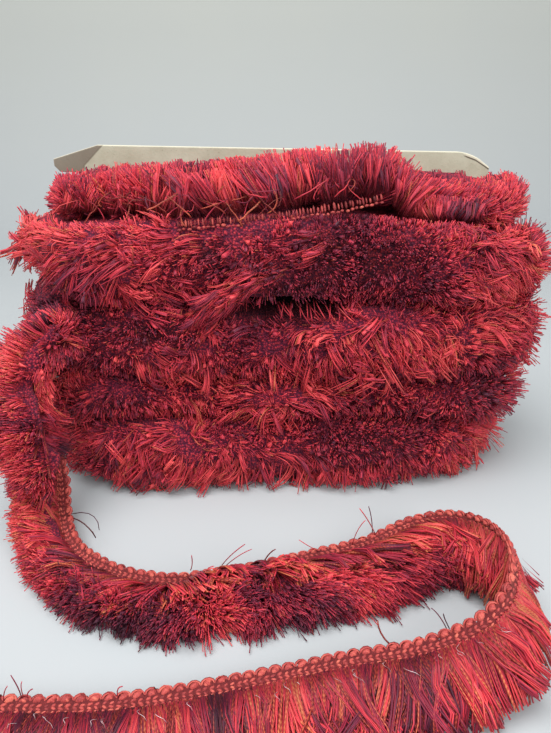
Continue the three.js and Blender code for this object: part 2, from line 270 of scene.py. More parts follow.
def on_turn(number, share, rise, depth=0.0):
    """Points on a turn; rise runs from -1 in the groove below it to 1 in the groove above."""
    core, out_x, out_y = place_around(share)
    end = np.where(out_x > 0, TURNS["right"][number], TURNS["left"][number])
    taper = np.clip((core - TAPER_BEGINS) / (CORE_HALF - TAPER_BEGINS), 0, 1)
    taper = FOOT_TAPER * taper * np.equal(number, 0)
    face = np.where(out_y > 0, TURNS["back"][number], TURNS["front"][number] - taper)
    lump = LUMP * np.sin(2 * math.pi * ((5 + number) * share + 0.4 * number))
    reach = end * out_x ** 2 + face * out_y ** 2 + lump - depth
    reach = reach - GROOVE_DEPTH * (1 - np.sqrt(np.clip(1 - rise ** 2, 0, 1)))
    below = groove_height(number - 1, share)
    height = below + (groove_height(number, share) - below) * (rise + 1) / 2
    return np.stack([core + out_x * reach, out_y * reach, height], axis=-1)


def openness(spots, out_y):
    """How open the hollow in front is at these places: 1 inside it, and 0 away from it."""
    across = (spots[..., 0] - HOLLOW[0]) / HOLLOW[2]
    up = (spots[..., 2] - HOLLOW[1]) / HOLLOW[3]
    return np.clip(2 * (1 - across ** 2 - up ** 2), 0, 1) * (out_y < 0)


def packed_pile():
    """Cut yarn ends, close together, each its own red with shadow round it, in lighter and darker patches."""
    material = surface("packed_pile", {
        "Roughness": 0.75, "Specular IOR Level": 0.15, "Sheen Weight": 0.1, "Sheen Tint": (1.0, 0.4, 0.5, 1),
    })
    place = own_place(material)
    ends = put(material, "TexVoronoi", {"Vector": place, "Scale": 850.0, "Randomness": 1.0})
    own = put(material, "SeparateColor", {"Color": ends.outputs["Color"]}).outputs["Red"]
    tone = maths(material, "MULTIPLY_ADD", grain(material, place, 70.0, 3.0), 0.9, own)
    edge = ranged(material, ends.outputs["Distance"], 0.15, 0.85, 0.12, 0.85)
    red = ramp(material, maths(material, "MULTIPLY", tone, edge), PILE_REDS)
    # Painted shade: the pile is darkened where its attribute says, inside the hollow and in the shadowed
    # patches.
    pile_shade = put(material, "Attribute", {}, attribute_name="pile_shade").outputs["Fac"]
    red = tinted(material, 1.0, red, ranged(material, pile_shade, 0.0, 1.0, 0.03, 1.0), "MULTIPLY")
    return dressed(material, red, edge, 0.8, 1.5 * MM)


def closed(form):
    """The form with its seam joined, its ends filled and its faces smooth and outwards."""
    bmesh.ops.remove_doubles(form, verts=form.verts, dist=0.05 * MM)
    bmesh.ops.holes_fill(form, edges=[edge for edge in form.edges if edge.is_boundary], sides=0)
    bmesh.ops.recalc_face_normals(form, faces=form.faces)
    for face in form.faces:
        face.smooth = True
    return form


turns = len(TURN_SIZES["top"])
CROWN = turns - 1
pile = bmesh.new()
bmesh.ops.create_grid(pile, x_segments=PILE_AROUND, y_segments=PILE_ROWS * turns, size=1.0)
flat = np.array([vert.co for vert in pile.verts])
level = (flat[:, 1] + 1) / 2 * turns
turn = np.minimum((level + 1e-6).astype(int), turns - 1)
bulge = np.sin(math.pi / 2 * (2 * (level - turn) - 1))
share = (flat[:, 0] + 1) / 2
form = on_turn(turn, share, bulge)
opened = openness(form, place_around(share)[2])
depth = PILE_DEPTH + HOLLOW_DEPTH * opened
for size, deep in PILE_LUMPS:
    depth += deep * MM * np.array([noise.noise(Vector(spot) / (size * MM)) for spot in form])
# Painted shade for the pile: full inside the hollow, and less in the patches where the front lies in shadow.
pile_shade = pile.verts.layers.float.new("pile_shade")
away = (form[:, None, [0, 2]] / MM - SHADOWED_PATCHES[:, :2]) / SHADOWED_PATCHES[:, 2:]
patch_shadow = SHADOW_DARKNESS * np.exp(-(away ** 2).sum(-1)).max(1) * (place_around(share)[2] < 0)
for vert, spot, open_here, shaded in zip(pile.verts, on_turn(turn, share, bulge, depth), opened, patch_shadow):
    vert.co = spot
    vert[pile_shade] = max(open_here, shaded)
pile_red = packed_pile()
pile_piece = finished("wound_pile", mesh_of("wound_pile", closed(pile)), pile_red)
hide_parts("wound_trim")


# Wound fringe: cut rayon yarns, bright and dark reds mixed, that stand out of the four lower turns in soft
# locks. They were crushed and combed every which way in the winding, so some lie along the turn and others
# show only their tips.
YARN_THICK = 0.62 * MM
YARN_SIDES = 3
TIP_TAPER = 0.85
LOCK_YARNS = 10
LOCK_WIDE = 2.3 * MM  # of the soft floss in the middle of a lock
LOCK_SIDES = 6
LOCK_FLAT = 0.6
LOCK_RAGGED = 0.9 * MM
LOCK_FIBRES = 4  # times as many as show round a yarn
LOCK_SHORT = 0.82  # of the length of the yarns round it
LOCK_BODY_SHADE = 0.1  # painted shade: how much darker it is than they are, as the shaded body of the lock
BACK_SHARE = 0.53  # of the locks that the back keeps
LOCK_SPREAD = 1.6 * MM
TIP_LENGTH = 6.2 * MM  # of the short yarns that show only their tips
TIP_ROOT = 4.4 * MM  # how far under the turn's form these begin
TIP_SHOWS = 2 * MM  # what shows of them at least
GROOVE_SHORT = 0.3  # how much shorter they are in the grooves
FOOT_BRIGHT = 0.06  # how much brighter the foot is
END_FLUFF = MM * np.array((12, 8, 6, 5, 0))  # how much longer they are at the right end of each turn
LEFT_FLUFF = MM * np.array((9, 12, -3, -3, 0))  # and at the left end
FOOT_FLUFF = 8 * MM  # and where the foot is spread on the floor in front,
FOOT_SPREAD = MM * np.array((14, 60))  # which is this far across, to this half length
TUFT = 12 * MM  # size of the tufts that the locks part into
TIP_BRIGHT = 0.56  # shade of the short yarns
COMBED_BRIGHT = 0.6  # and of those that are combed over
YARN_REACH = 19 * MM  # how far a yarn that is combed over runs along the turn
YARN_ROOT = 6 * MM
COMBED_YARNS = 6  # to a lock of these
COMBED_BENDS = 5
FLOOR_REST = 0.7 * MM
WRAP = 0.6  # how closely combed yarns follow the turn's roundness
YARN_REDS = [
    (0.0, (0.05, 0.007, 0.022, 1)),
    (0.25, (0.16, 0.014, 0.041, 1)),
    (0.5, (0.45, 0.027, 0.057, 1)),
    (0.75, (0.74, 0.043, 0.062, 1)),
    (1.0, (0.87, 0.12, 0.11, 1)),
]
RUST_REDS = [
    (0.0, (0.06, 0.008, 0.012, 1)),
    (0.4, (0.25, 0.025, 0.024, 1)),
    (0.75, (0.52, 0.075, 0.042, 1)),
    (1.0, (0.68, 0.19, 0.085, 1)),
]
FIBRES = 8  # that show round a yarn
CHAIN_LINKS = 16  # along a knitted chain yarn
CHAIN_SHARE = 0.06  # of the yarns
PATCH_SHADE = 0.28
YARN_MARKS = "shade", "run", "chained"  # attributes of the yarns: brightness, way from root to tip, and kind
# How the front of the roll lies: the middle and half size of each combed patch in millimetres across and up,
# the way its tips point, how far they are combed over, and how much brighter or darker its yarns are: partly
# their own mix of reds, partly painted light and shade, lighter where the yarns lie along the turn and darker
# where only their tips show or a turn above shades them.
COMBED = np.array([
    # across, up, half_wide, half_high, to_right, to_top, amount, shade
    (-122, 140, 18, 10, -1.0, -0.15, 1.0, 0.10),
    (-81, 156, 30, 8, -0.4, 0.8, 0.6, 0.0),
    (-78, 140, 22, 9, -1.0, -0.3, 0.9, 0.05),
    (-48, 142, 22, 9, -0.9, 0.1, 0.8, 0.0),
    (-92, 128, 16, 9, 0.05, -1.0, 1.0, 0.0),
    (-58, 117, 25, 8, 1.0, -0.1, 0.9, 0.10),
    (-15, 114, 12, 14, -0.6, -0.8, 1.0, 0.0),
    (38, 134, 45, 20, 0.3, 0.2, 0.05, -0.22),
    (118, 126, 20, 16, 0.5, -0.9, 0.9, 0.12),
    (138, 146, 10, 8, 1.0, 0.2, 1.0, 0.05),
    (97, 165, 22, 9, 0.5, 0.7, 0.7, 0.08),
    (12, 119, 20, 6, 0.2, -0.3, 0.1, -0.3),
    (14, 99, 24, 4, -1.0, 0.1, 0.7, 0.0),
    (68, 91, 32, 13, 0.4, -0.9, 1.0, 0.14),
    (124, 94, 16, 12, 1.0, -0.3, 0.9, 0.10),
    (15, 80, 24, 9, 0.1, -1.0, 0.9, 0.08),
    (-64, 76, 16, 8, 0.5, -0.8, 0.7, 0.0),
    (21, 58, 22, 8, 0.9, -0.3, 0.8, 0.05),
    (85, 63, 18, 7, -0.5, -0.5, 0.5, -0.05),
    (124, 61, 18, 12, 0.5, 0.0, 0.05, -0.25),
    (60, 34, 40, 15, 0.2, 0.1, 0.1, -0.25),
    (-68, 26, 22, 14, -0.4, -0.8, 0.9, 0.05),
    (-29, 16, 22, 13, -0.5, -0.8, 1.0, 0.12),
    (16, 13, 22, 11, 0.3, -0.9, 1.0, 0.12),
    (72, 11, 30, 10, 0.0, -1.0, 0.8, 0.05),
    (123, 22, 20, 14, 0.7, -0.6, 0.9, 0.10),
    (-103, 38, 14, 12, -0.7, -0.5, 0.8, 0.0),
    (-105, 110, 24, 14, -0.2, 0.0, 0.1, -0.34),
    (-60, 55, 30, 9, 0.5, -0.6, 0.6, 0.0),
    (-60, 96, 26, 6, 0.3, -0.2, 0.2, -0.2),
    (-30, 134, 12, 8, -0.5, -0.4, 0.3, -0.2),
    (-84, 48, 14, 8, 0.3, -0.3, 0.2, -0.2),
])
# Long locks that sweep down over the parted turns, along this line in millimetres, and shade the hollow.
SWEEP = MM * np.array([(30, -50, 139), (4, -53, 127.5), (-14, -54, 118.5), (-23, -54, 109), (-34, -52, 96)])
SWEEP_LOCKS = 120
SWEEP_LENGTH = 12.5 * MM
# Single yarns that hang across the hollow: the limits of their roots on its lip, and of their fall.
HOLLOW_YARNS = 24
HOLLOW_LIP = (2, -44, 109), (36, -41, 112)
HOLLOW_FALL = (-2, -8, -9), (9, -4, -6)
# Line in front where the crown's heading lies. It shows between its second and its last but two points.
CROWN_LINE = MM * np.array([
    (-105, -31, 151), (-46, -42.5, 149.4), (-32, -43, 150.7), (0, -43, 153),
    (28, -42, 157.3), (54, -40, 162), (61, -43, 151), (104, -40, 145),
])
LINE_CLEAR = 5 * MM  # how far under it the fringe stays
PARTED = MM * np.array((119, 10))  # height and half height of the groove that stands open at the left end
draw = np.random.default_rng(11)
noise.seed_set(5)  # for the ways that the tufts part, so that they are the same at each run


def unit(vectors):
    return vectors / np.maximum(np.linalg.norm(vectors, axis=-1, keepdims=True), 1e-12)


def strand_points(paths, half, corners, facing, flat=1.0):
    """Corners round strands, whose paths are strands x stations x 3, with their flat sides to facing."""
    along = unit(np.gradient(paths, axis=1))
    side = unit(np.cross(along, facing[:, None]))
    turn = 2 * math.pi * np.arange(corners) / corners
    over = flat * np.cross(along, side)
    ring = np.cos(turn)[:, None] * side[:, :, None] + np.sin(turn)[:, None] * over[:, :, None]
    return paths[:, :, None] + half[:, :, None, None] * ring


def strand_mesh(name, points, shade, chained, fibres=1, pointed=False):
    """Many strands as one mesh, from strands x stations x corners x 3 points. A pointed root is one point."""
    strands, stations, corners, _ = points.shape
    here = np.arange(corners)
    band = np.arange(stations - 1)[:, None, None]
    near = np.stack([here, (here + 1) % corners], -1) + corners * band
    walls = np.concatenate([near, near[..., ::-1] + corners], -1)
    wall_u = np.broadcast_to(np.stack([here, here + 1, here + 1, here], -1) / corners, walls.shape)
    wall_v = np.broadcast_to((band + np.array([0, 0, 1, 1])) / (stations - 1), walls.shape)
    faces = [(here[None] + corners * (stations - 1), here[None] / corners, np.ones((1, corners)))]
    if pointed:
        faces.append([part[0][:, [0, 2, 3]] for part in (walls, wall_u, wall_v)])
        faces.append([part[1:].reshape(-1, 4) for part in (walls, wall_u, wall_v)])
    else:
        faces.append((here[None, ::-1], here[None, ::-1] / corners, np.zeros((1, corners))))
        faces.append([part.reshape(-1, 4) for part in (walls, wall_u, wall_v)])
    skipped = corners - 1 if pointed else 0
    points = points.reshape(strands, -1, 3)[:, skipped:]
    points[..., 2] = np.maximum(points[..., 2], 0.2 * MM)
    each = points.shape[1]
    start = each * np.arange(strands)[:, None, None]
    seed = draw.integers(0, 200, strands)[:, None, None]
    polygons, floss = [], []
    for corner, u, v in faces:
        polygons += (start + np.maximum(corner - skipped, 0)).reshape(-1, corner.shape[-1]).tolist()
        around = seed + fibres * u
        floss.append(np.stack([around, v + 0 * around], -1).reshape(-1))
    mesh = bpy.data.meshes.new(name)
    mesh.from_pydata(points.reshape(-1, 3), [], polygons)
    mesh.polygons.foreach_set("use_smooth", np.ones(len(mesh.polygons), dtype=bool))
    run = np.repeat(np.linspace(0, 1, stations), corners)[skipped:]
    marks = (np.repeat(shade, each), np.tile(run, strands), np.repeat(1.0 * chained, each))
    for mark, values in zip(YARN_MARKS, marks):
        mesh.attributes.new(mark, "FLOAT", "POINT").data.foreach_set("value", values)
    mesh.uv_layers.new(name="floss").data.foreach_set("uv", np.concatenate(floss))
    return mesh


def cut_rayon(name, reds, root_shade, contrast=1.0):
    """Cut rayon: floss of bright and dark fibres, and rust-red chain yarn, both with painted shade at the
    roots.
    """
    material = surface(name, {
        "Roughness": 0.46, "Specular IOR Level": 0.3, "Sheen Weight": 0.08, "Sheen Roughness": 0.45,
        "Sheen Tint": (1.0, 0.4, 0.48, 1),
    })
    shade, run, chained = (
        put(material, "Attribute", {}, attribute_name=mark).outputs["Fac"] for mark in YARN_MARKS
    )
    over = put(material, "UVMap", {}, uv_map="floss").outputs["UV"]
    drawn = put(material, "VectorMath", {0: over, 1: (FIBRES, 1.6, 0)}, operation="MULTIPLY")
    fibre = grain(material, drawn.outputs["Vector"], 1.0, 2.0, noise_dimensions="2D")
    level = maths(material, "MULTIPLY_ADD", fibre, contrast, shade)
    level = maths(material, "SUBTRACT", level, 0.5 * contrast)
    column = put(material, "SeparateXYZ", {"Vector": over}).outputs["X"]
    slope = maths(material, "PINGPONG", maths(material, "MULTIPLY", column, 2.0), 0.5)
    link = maths(material, "MULTIPLY_ADD", run, CHAIN_LINKS, slope)
    wave = maths(material, "SINE", maths(material, "MULTIPLY", link, 2 * math.pi))
    chain = ramp(material, maths(material, "MULTIPLY_ADD", wave, 0.2, level), RUST_REDS)
    red = tinted(material, chained, ramp(material, level, reds), chain)
    # Painted shade: the yarns darken towards their roots, where they are buried among the others.
    red = tinted(material, 1.0, red, ranged(material, run, 0.0, 0.7, 1.0, root_shade), "MULTIPLY")
    return dressed(material, red, fibre, 0.4, 0.6 * MM)


def lie_of(number, share, skin, out_y):
    """Way the yarns at these places are combed: to the right, to the top, how far, and how bright."""
    swirl = 2 * math.pi * (0.55 * np.sin(2 * math.pi * (3 * share + 0.37 * number))
                           + 0.3 * np.sin(2 * math.pi * (8 * share + 0.21 * number)) - 0.25)
    amount = 0.5 + 0.4 * np.sin(2 * math.pi * (7 * share + 0.43 * number))
    plain = np.stack([np.cos(swirl), np.sin(swirl), amount, 0.2 * (amount - 0.5)], -1)
    away = (skin[:, None, [0, 2]] / MM - COMBED[:, :2]) / COMBED[:, 2:4]
    weight = np.exp(-(away ** 2).sum(-1)) * (out_y < 0.3)[:, None]
    patch = (weight[:, :, None] * COMBED[:, 4:]).sum(1) / np.maximum(weight.sum(1), 1e-6)[:, None]
    held = np.clip(1.4 * weight.sum(1), 0, 1)[:, None]
    return held * patch + (1 - held) * plain


def even_strewn(count):
    """Pairs of numbers from 0 to 1, strewn evenly."""
    steps = np.arange(1, count + 1)[:, None] * np.array([0.7548776662, 0.5698402910])
    return (steps + draw.random(2)) % 1.0


def strewn_locks(number, locks, lowest, highest):
    """Places of a turn's locks all round it and the way they lie, leaving the hollow open."""
    places = even_strewn(locks)
    share = places[:, 0]
    rise = np.sin(lowest + (highest - lowest) * places[:, 1])
    skin = on_turn(number, share, rise)
    _, out_x, out_y = place_around(share)
    kept = openness(skin, out_y) < 0.15
    below = np.interp(skin[:, 0], CROWN_LINE[:, 0], CROWN_LINE[:, 2]) - skin[:, 2]
    shown = (skin[:, 0] > CROWN_LINE[1, 0]) & (skin[:, 0] < CROWN_LINE[-3, 0]) & (out_y < 0)
    kept &= ~(shown & (below < LINE_CLEAR) & (number < CROWN))
    parted = np.abs(skin[:, 2] - PARTED[0]) < PARTED[1]
    kept &= ~(parted & (out_x < -0.45) & (out_y < 0.3))
    kept &= draw.random(len(share)) < np.where(out_y > 0.3, BACK_SHARE, 1.0)
    lie = lie_of(number, share, skin, out_y)
    lie[:, 3] += patches(skin)
    return share[kept], rise[kept], lie[kept]


def patches(spots):
    """How much brighter or darker the yarn is at these places, in patches the size of a few locks."""
    coarse = [noise.noise(Vector(spot) / (26 * MM)) for spot in spots]
    fine = [noise.noise(Vector(spot) / (9 * MM)) for spot in spots]
    return PATCH_SHADE * (np.array(coarse) + 0.8 * np.array(fine))


def swirls(spots, size):
    """Smoothly changing ways, by which neighbouring locks part into tufts of about this size."""
    return np.array([noise.noise_vector(Vector(spot) / size) for spot in spots])


def turn_ways(number, share, rise):
    """Points on a turn and the ways on along it, up it and out of it."""
    step = 0.002
    ahead = unit(on_turn(number, share + step, rise) - on_turn(number, share - step, rise))
    upward = unit(on_turn(number, share, rise + step) - on_turn(number, share, rise - step))
    return on_turn(number, share, rise), ahead, upward, unit(np.cross(ahead, upward))


def locks_of(locks, yarns, *axes):
    """Number of each yarn's lock, and a way to vary something by lock and by yarn, on so many axes."""
    own = np.repeat(np.arange(locks), yarns)

    def varied(by_lock, by_yarn, *others):
        size = others or axes
        return by_lock * draw.normal(size=(locks, *size))[own] + by_yarn * draw.normal(size=(len(own), *size))

    return own, varied


def each_yarn(lock_share, lock_rise, number, yarns=LOCK_YARNS):
    """For the yarns of a turn's locks: their lock's number, their own place, and a way to vary them."""
    own, varied = locks_of(len(lock_share), yarns, 1)
    tall = TURNS["top"][number] - (TURNS["top"][number - 1] if number else 0.0)
    aside = LOCK_SPREAD * draw.normal(size=(len(own), 2))
    aside[::yarns] = 0
    share = lock_share[own] + aside[:, 0] / PERIMETER
    rise = np.clip(lock_rise[own] + 2 * aside[:, 1] / tall, -0.98, 0.99)
    return own, share, rise, tall, varied


def lift_off_floor(paths):
    low = np.maximum(FLOOR_REST - paths[:, :, 2], 0)
    paths[:, :, 2] += low * (1 + 0.4 * draw.random(len(paths)))[:, None]


def tip_yarns(number, lock_share, lock_rise, lie):
    """Paths, shades and facings of the short yarns that stand out of the pile and lean as it is combed."""
    own, share, rise, _, varied = each_yarn(lock_share, lock_rise, number)
    skin, ahead, upward, outward = turn_ways(number, share, rise)
    lean = np.clip(lie[own, 2:3] + varied(0.1, 0.04), 0.0, 0.9)
    comb = unit(lie[own, :2] + varied(0.3, 0.08, 2))
    way = outward * (1 - 0.85 * lean) + lean * (comb[:, :1] * ahead + comb[:, 1:] * upward)
    way = unit(way + 0.6 * swirls(skin[::LOCK_YARNS], TUFT)[own] + varied(0.14, 0.08, 3))
    _, out_x, out_y = place_around(share)
    fluff = END_FLUFF[number] * np.clip(out_x, 0, 1) ** 2 * (rise > (0.1 if number == 0 else -1))
    fluff += LEFT_FLUFF[number] * np.clip(-out_x, 0, 1) ** 2
    if number == 0:
        spread = np.clip(1 - np.abs(skin[:, 0] - FOOT_SPREAD[0]) / FOOT_SPREAD[1], 0, 1)
        fluff += FOOT_FLUFF * spread * (rise < -0.1) * (out_y < 0)
    length = (TIP_LENGTH + 5 * MM * lean + fluff[:, None]) * (1 + varied(0.12, 0.07))
    length *= 1 - GROOVE_SHORT * rise[:, None] ** 6
    root = skin - np.minimum(TIP_ROOT, length - TIP_SHOWS) * outward
    paths = np.stack([root, root + length * way], 1)
    lift_off_floor(paths)
    bright = TIP_BRIGHT + FOOT_BRIGHT * (number == 0)
    return paths, bright + lie[own, 3] + varied(0.06, 0.13)[:, 0], outward


def combed_yarns(number, lock_share, lock_rise, lie):
    """Paths, shades and facings of the long yarns that are combed over the turn."""
    own, share, rise, tall, varied = each_yarn(lock_share, lock_rise, number, COMBED_YARNS)
    skin, ahead, upward, facing = turn_ways(number, share, rise)
    outward = unit(facing + varied(0.12, 0.03, 3))[:, None]
    comb = unit(lie[own, :2] + varied(0.3, 0.04, 2))
    amount = np.clip(lie[own, 2:3] + varied(0.15, 0.04), 0.3, 1.15)
    along = np.linspace(0, 1, COMBED_BENDS)[None]
    root = -YARN_ROOT
    tip = (4 * MM * (1 - amount) + 1.5 * MM) * (1 + varied(0.4, 0.2))
    stand = root + (tip - root) * (1 - (1 - along) ** 2)
    reach = (1 + varied(0.14, 0.04)) * YARN_REACH * amount * along ** 1.3
    swept = np.arcsin(rise)[:, None] + comb[:, 1:] * reach / (0.6 * tall)
    around = share[:, None] + comb[:, :1] * reach / PERIMETER
    wrapped = on_turn(number, around, np.sin(np.clip(swept, -1.5, 1.5)))
    way = comb[:, :1] * ahead + comb[:, 1:] * upward
    straight = skin[:, None] + way[:, None] * reach[:, :, None]
    paths = WRAP * wrapped + (1 - WRAP) * straight + outward * stand[:, :, None]
    paths += (along ** 2)[:, :, None] * varied(2.6 * MM, 0.4 * MM, 3)[:, None]
    paths += (along * np.sin(2.5 * math.pi * along))[:, :, None] * varied(1.1 * MM, 0.2 * MM, 3)[:, None]
    paths[:, :, 2] -= 2.5 * MM * amount * along ** 2
    lift_off_floor(paths)
    return paths, COMBED_BRIGHT + lie[own, 3] + varied(0.1, 0.1)[:, 0], facing


def yarn_piece(name, paths, shade, material, thickness=YARN_THICK, chain_share=CHAIN_SHARE,
               pointed=False):
    """Finished piece of many yarns, of which a share are knitted chain and a little thicker."""
    yarns, stations, _ = paths.shape
    chained = draw.random(yarns) < chain_share
    thick = thickness * (1 + 0.12 * draw.normal(size=yarns)) * np.where(chained, 1.25, 1.0)
    half = 0.5 * thick[:, None] * np.append(np.ones(stations - 1), TIP_TAPER)
    half[:, 0] *= 0 if pointed else 1
    facing = np.cross(paths[:, 1] - paths[:, 0], draw.normal(size=(yarns, 3)))
    points = strand_points(paths, half, YARN_SIDES, facing)
    return finished(name, strand_mesh(name, points, shade, chained, 1, pointed), material)


def lock_piece(name, paths, shade, facing):
    """Finished piece of soft locks of floss, which widen from their roots to flat, ragged cut ends."""
    locks, stations, _ = paths.shape
    paths = paths[:, :1] + LOCK_SHORT * (paths - paths[:, :1])
    half = 0.5 * LOCK_WIDE * (1 + 0.15 * draw.normal(size=(locks, 1))) * np.linspace(0, 1, stations) ** 0.7
    facing = facing + 0.2 * draw.normal(size=(locks, 3))
    points = strand_points(paths, half, LOCK_SIDES, facing, LOCK_FLAT)
    torn = LOCK_RAGGED * draw.normal(size=(locks, LOCK_SIDES, 1))
    points[:, -1] += torn * unit(paths[:, -1:] - paths[:, -2:-1])
    # Painted shade: the floss is drawn darker than the yarns round it, as the shaded body of the lock.
    mesh = strand_mesh(name, points, shade - LOCK_BODY_SHADE, np.zeros(locks), LOCK_FIBRES, True)
    return finished(name, mesh, lock_red)


def lock_and_yarns(name, each, paths, shade, facing, material):
    """Pieces of locks of some yarns each: the first of a lock is its floss and the rest lie round it."""
    floss = np.arange(len(paths)) % each == 0
    locks = lock_piece(name + "_floss", paths[floss], shade[floss], facing[floss])
    return [locks, yarn_piece(name, paths[~floss], shade[~floss], material, pointed=True)]


def brushed_turn(name, number, locks, combed_locks, lowest, highest):
    """Pieces of one turn's fringe: short yarns all over it, and long ones where it is combed."""
    share, rise, lie = strewn_locks(number, locks, lowest, highest)
    tips = tip_yarns(number, share, rise, lie)
    lock_and_yarns("wound_tips_" + name, LOCK_YARNS, *tips, wound_red)
    share, rise, lie = strewn_locks(number, combed_locks, lowest, highest)
    combed = lie[:, 2] > 0.6
    yarns = combed_yarns(number, share[combed], rise[combed], lie[combed])
    lock_and_yarns("wound_combed_" + name, COMBED_YARNS, *yarns, wound_red)


def swept_yarns(locks):
    """Paths, shades and facings of the long locks that sweep down over the parted turns."""
    own, varied = locks_of(locks, LOCK_YARNS, 3)
    at = np.interp(draw.random(locks), (0, 1), (0, len(SWEEP) - 1.4))
    spot, ahead = (np.stack([np.interp(at, np.arange(len(SWEEP)), column) for column in table.T], -1)[own]
                   for table in (SWEEP, unit(np.gradient(SWEEP, axis=0))))
    aside = unit(np.cross(ahead, np.array([0, 1.0, 0])))
    spread = draw.random(locks)[own, None] ** 1.5
    aside *= np.where(aside[:, :1] > 0, -1, 1)
    root = spot + 10 * MM * spread * aside + varied(0.6 * MM, 0.7 * MM) + 3.5 * MM * np.array([0, 1.0, 0])
    way = unit(ahead + 0.1 * aside + varied(0.13, 0.05))
    along = np.linspace(0, 1, 4)[:, None]
    length = SWEEP_LENGTH * (1 + varied(0.15, 0.04)[:, :1])
    over = np.array([0, -0.16, -0.06]) * np.sin(0.7 * math.pi * along)
    bend = along ** 2 * varied(0.1, 0.02)[:, None]
    paths = root[:, None] + length[:, None] * (along * way[:, None] + over + bend)
    shade = COMBED_BRIGHT - 0.1 * spread[:, 0] + varied(0.1, 0.12)[:, 0]
    return paths, shade, np.tile((0.0, -1.0, 0.0), (len(own), 1))


wound_red = cut_rayon("wound_rayon", YARN_REDS, 0.45)
lock_red = cut_rayon("floss_rayon", YARN_REDS, 0.45, 1.7)
brushed_turn("foot", 0, 1700, 600, -0.6, 1.45)
brushed_turn("low", 1, 1250, 400, -1.25, 1.45)
brushed_turn("middle", 2, 2050, 620, -1.3, 1.45)
brushed_turn("high", 3, 2250, 660, -1.3, 1.5)
lock_and_yarns("wound_sweep", LOCK_YARNS, *swept_yarns(SWEEP_LOCKS), wound_red)
lip, fall = (MM * draw.uniform(*limits, (HOLLOW_YARNS, 3)) for limits in (HOLLOW_LIP, HOLLOW_FALL))
hung = np.stack([lip + part * fall - 2 * MM * math.sin(math.pi * part) * np.array([0, 1.0, 0])
                 for part in np.linspace(0, 1, 5)], 1)
yarn_piece("wound_hollow_yarns", hung, 0.6 + 0.18 * draw.normal(size=HOLLOW_YARNS), wound_red)


# Crown: the last turn, wound with its fringe upwards, so its yarns stand like grass in front of the card and
# behind it. Some long ones have slipped down over its front, and its ends are brushed like the other turns.
CROWN_LOCKS = 500
CROWN_FRONT_LOCKS = 300  # that grow from the heading in front
CROWN_END_LOCKS = 1500  # all round; only those at the ends are kept
CROWN_YARNS = 10
CROWN_LENGTH = 24 * MM
CROWN_TUFT = 19 * MM
CROWN_BRIGHT = 0.54
FRONT_BRIGHT = 0.5
BACK_CREST = 174  # millimetres up, the highest behind the card
# Height of the tips in front of the card, across it, and how far they lean to the right.
CREST = np.array([
    # across in millimetres, height in millimetres, lean
    (-135, 158, 0.3), (-122, 163, 0.3), (-108, 168, 0.2), (-62, 174, -0.1), (-1, 179, -0.15), (30, 184, 0),
    (50, 186, 0.1), (62, 174, 0.3), (81, 165, 0.5), (95, 162, 0.15), (145, 150, -0.1),
])
# Long yarns on its front: how far they lie across, and the limits of their roots from the heading's line,
# of their tips from the roots, and of their bow, in millimetres.
CROWN_STRANDS = 50
STRAND_ACROSS = (-98, 52)
STRAND_ROOT = (-3, 0, 8), (3, 2, 15)
STRAND_TIP = (-17, -3.5, -13), (17, -1, -1)
STRAND_BOW = (-6, -4, -3), (6, -1, 5)


def front_yarns(locks):
    """Paths, shades and facings of the yarns that stand up from the crown's heading in front."""
    own, varied = locks_of(locks, CROWN_YARNS)
    aside = LOCK_SPREAD * draw.normal(size=len(own))
    aside[::CROWN_YARNS] = 0
    across = (np.arange(locks) + draw.random(locks)) / locks
    across = np.interp(across, (0, 1), CROWN_LINE[[0, -1], 0])[own] + aside
    back, up = (np.interp(across, CROWN_LINE[:, 0], CROWN_LINE[:, axis]) for axis in (1, 2))
    crest, lean = (np.interp(across / MM, CREST[:, 0], CREST[:, column]) for column in (1, 2))
    deep = draw.random(locks)[own]
    root = np.stack([across, back + MM * (0.5 + 7 * deep), up + MM * (1 + 3 * deep)], -1)
    way = np.stack([lean + varied(0.2, 0.05), 0.25 + varied(0.12, 0.05), np.ones(len(own))], -1)
    inward = np.clip((100 * MM - np.abs(across)) / (25 * MM), 0.15, 1)[:, None]
    way += 1.25 * inward * swirls(root[::CROWN_YARNS], CROWN_TUFT)[own] * np.array([1.0, 0.6, 0.3])
    tall = np.clip(crest * MM - root[:, 2], 8 * MM, CROWN_LENGTH) * (1 - 0.28 * draw.random(locks)[own])
    along = np.linspace(0, 1, 3)[:, None]
    bend = np.stack([varied(0.3, 0.06), 0.15 + varied(0.15, 0.03), varied(0, 0.02)], -1)[:, None]
    paths = root[:, None] + tall[:, None, None] * (along * way[:, None] + bend * (along - along ** 2))
    shade = FRONT_BRIGHT + 1.3 * patches(root[::CROWN_YARNS])[own] + varied(0.06, 0.12)
    return paths, shade, np.tile((0.0, -1.0, 0.3), (len(own), 1))


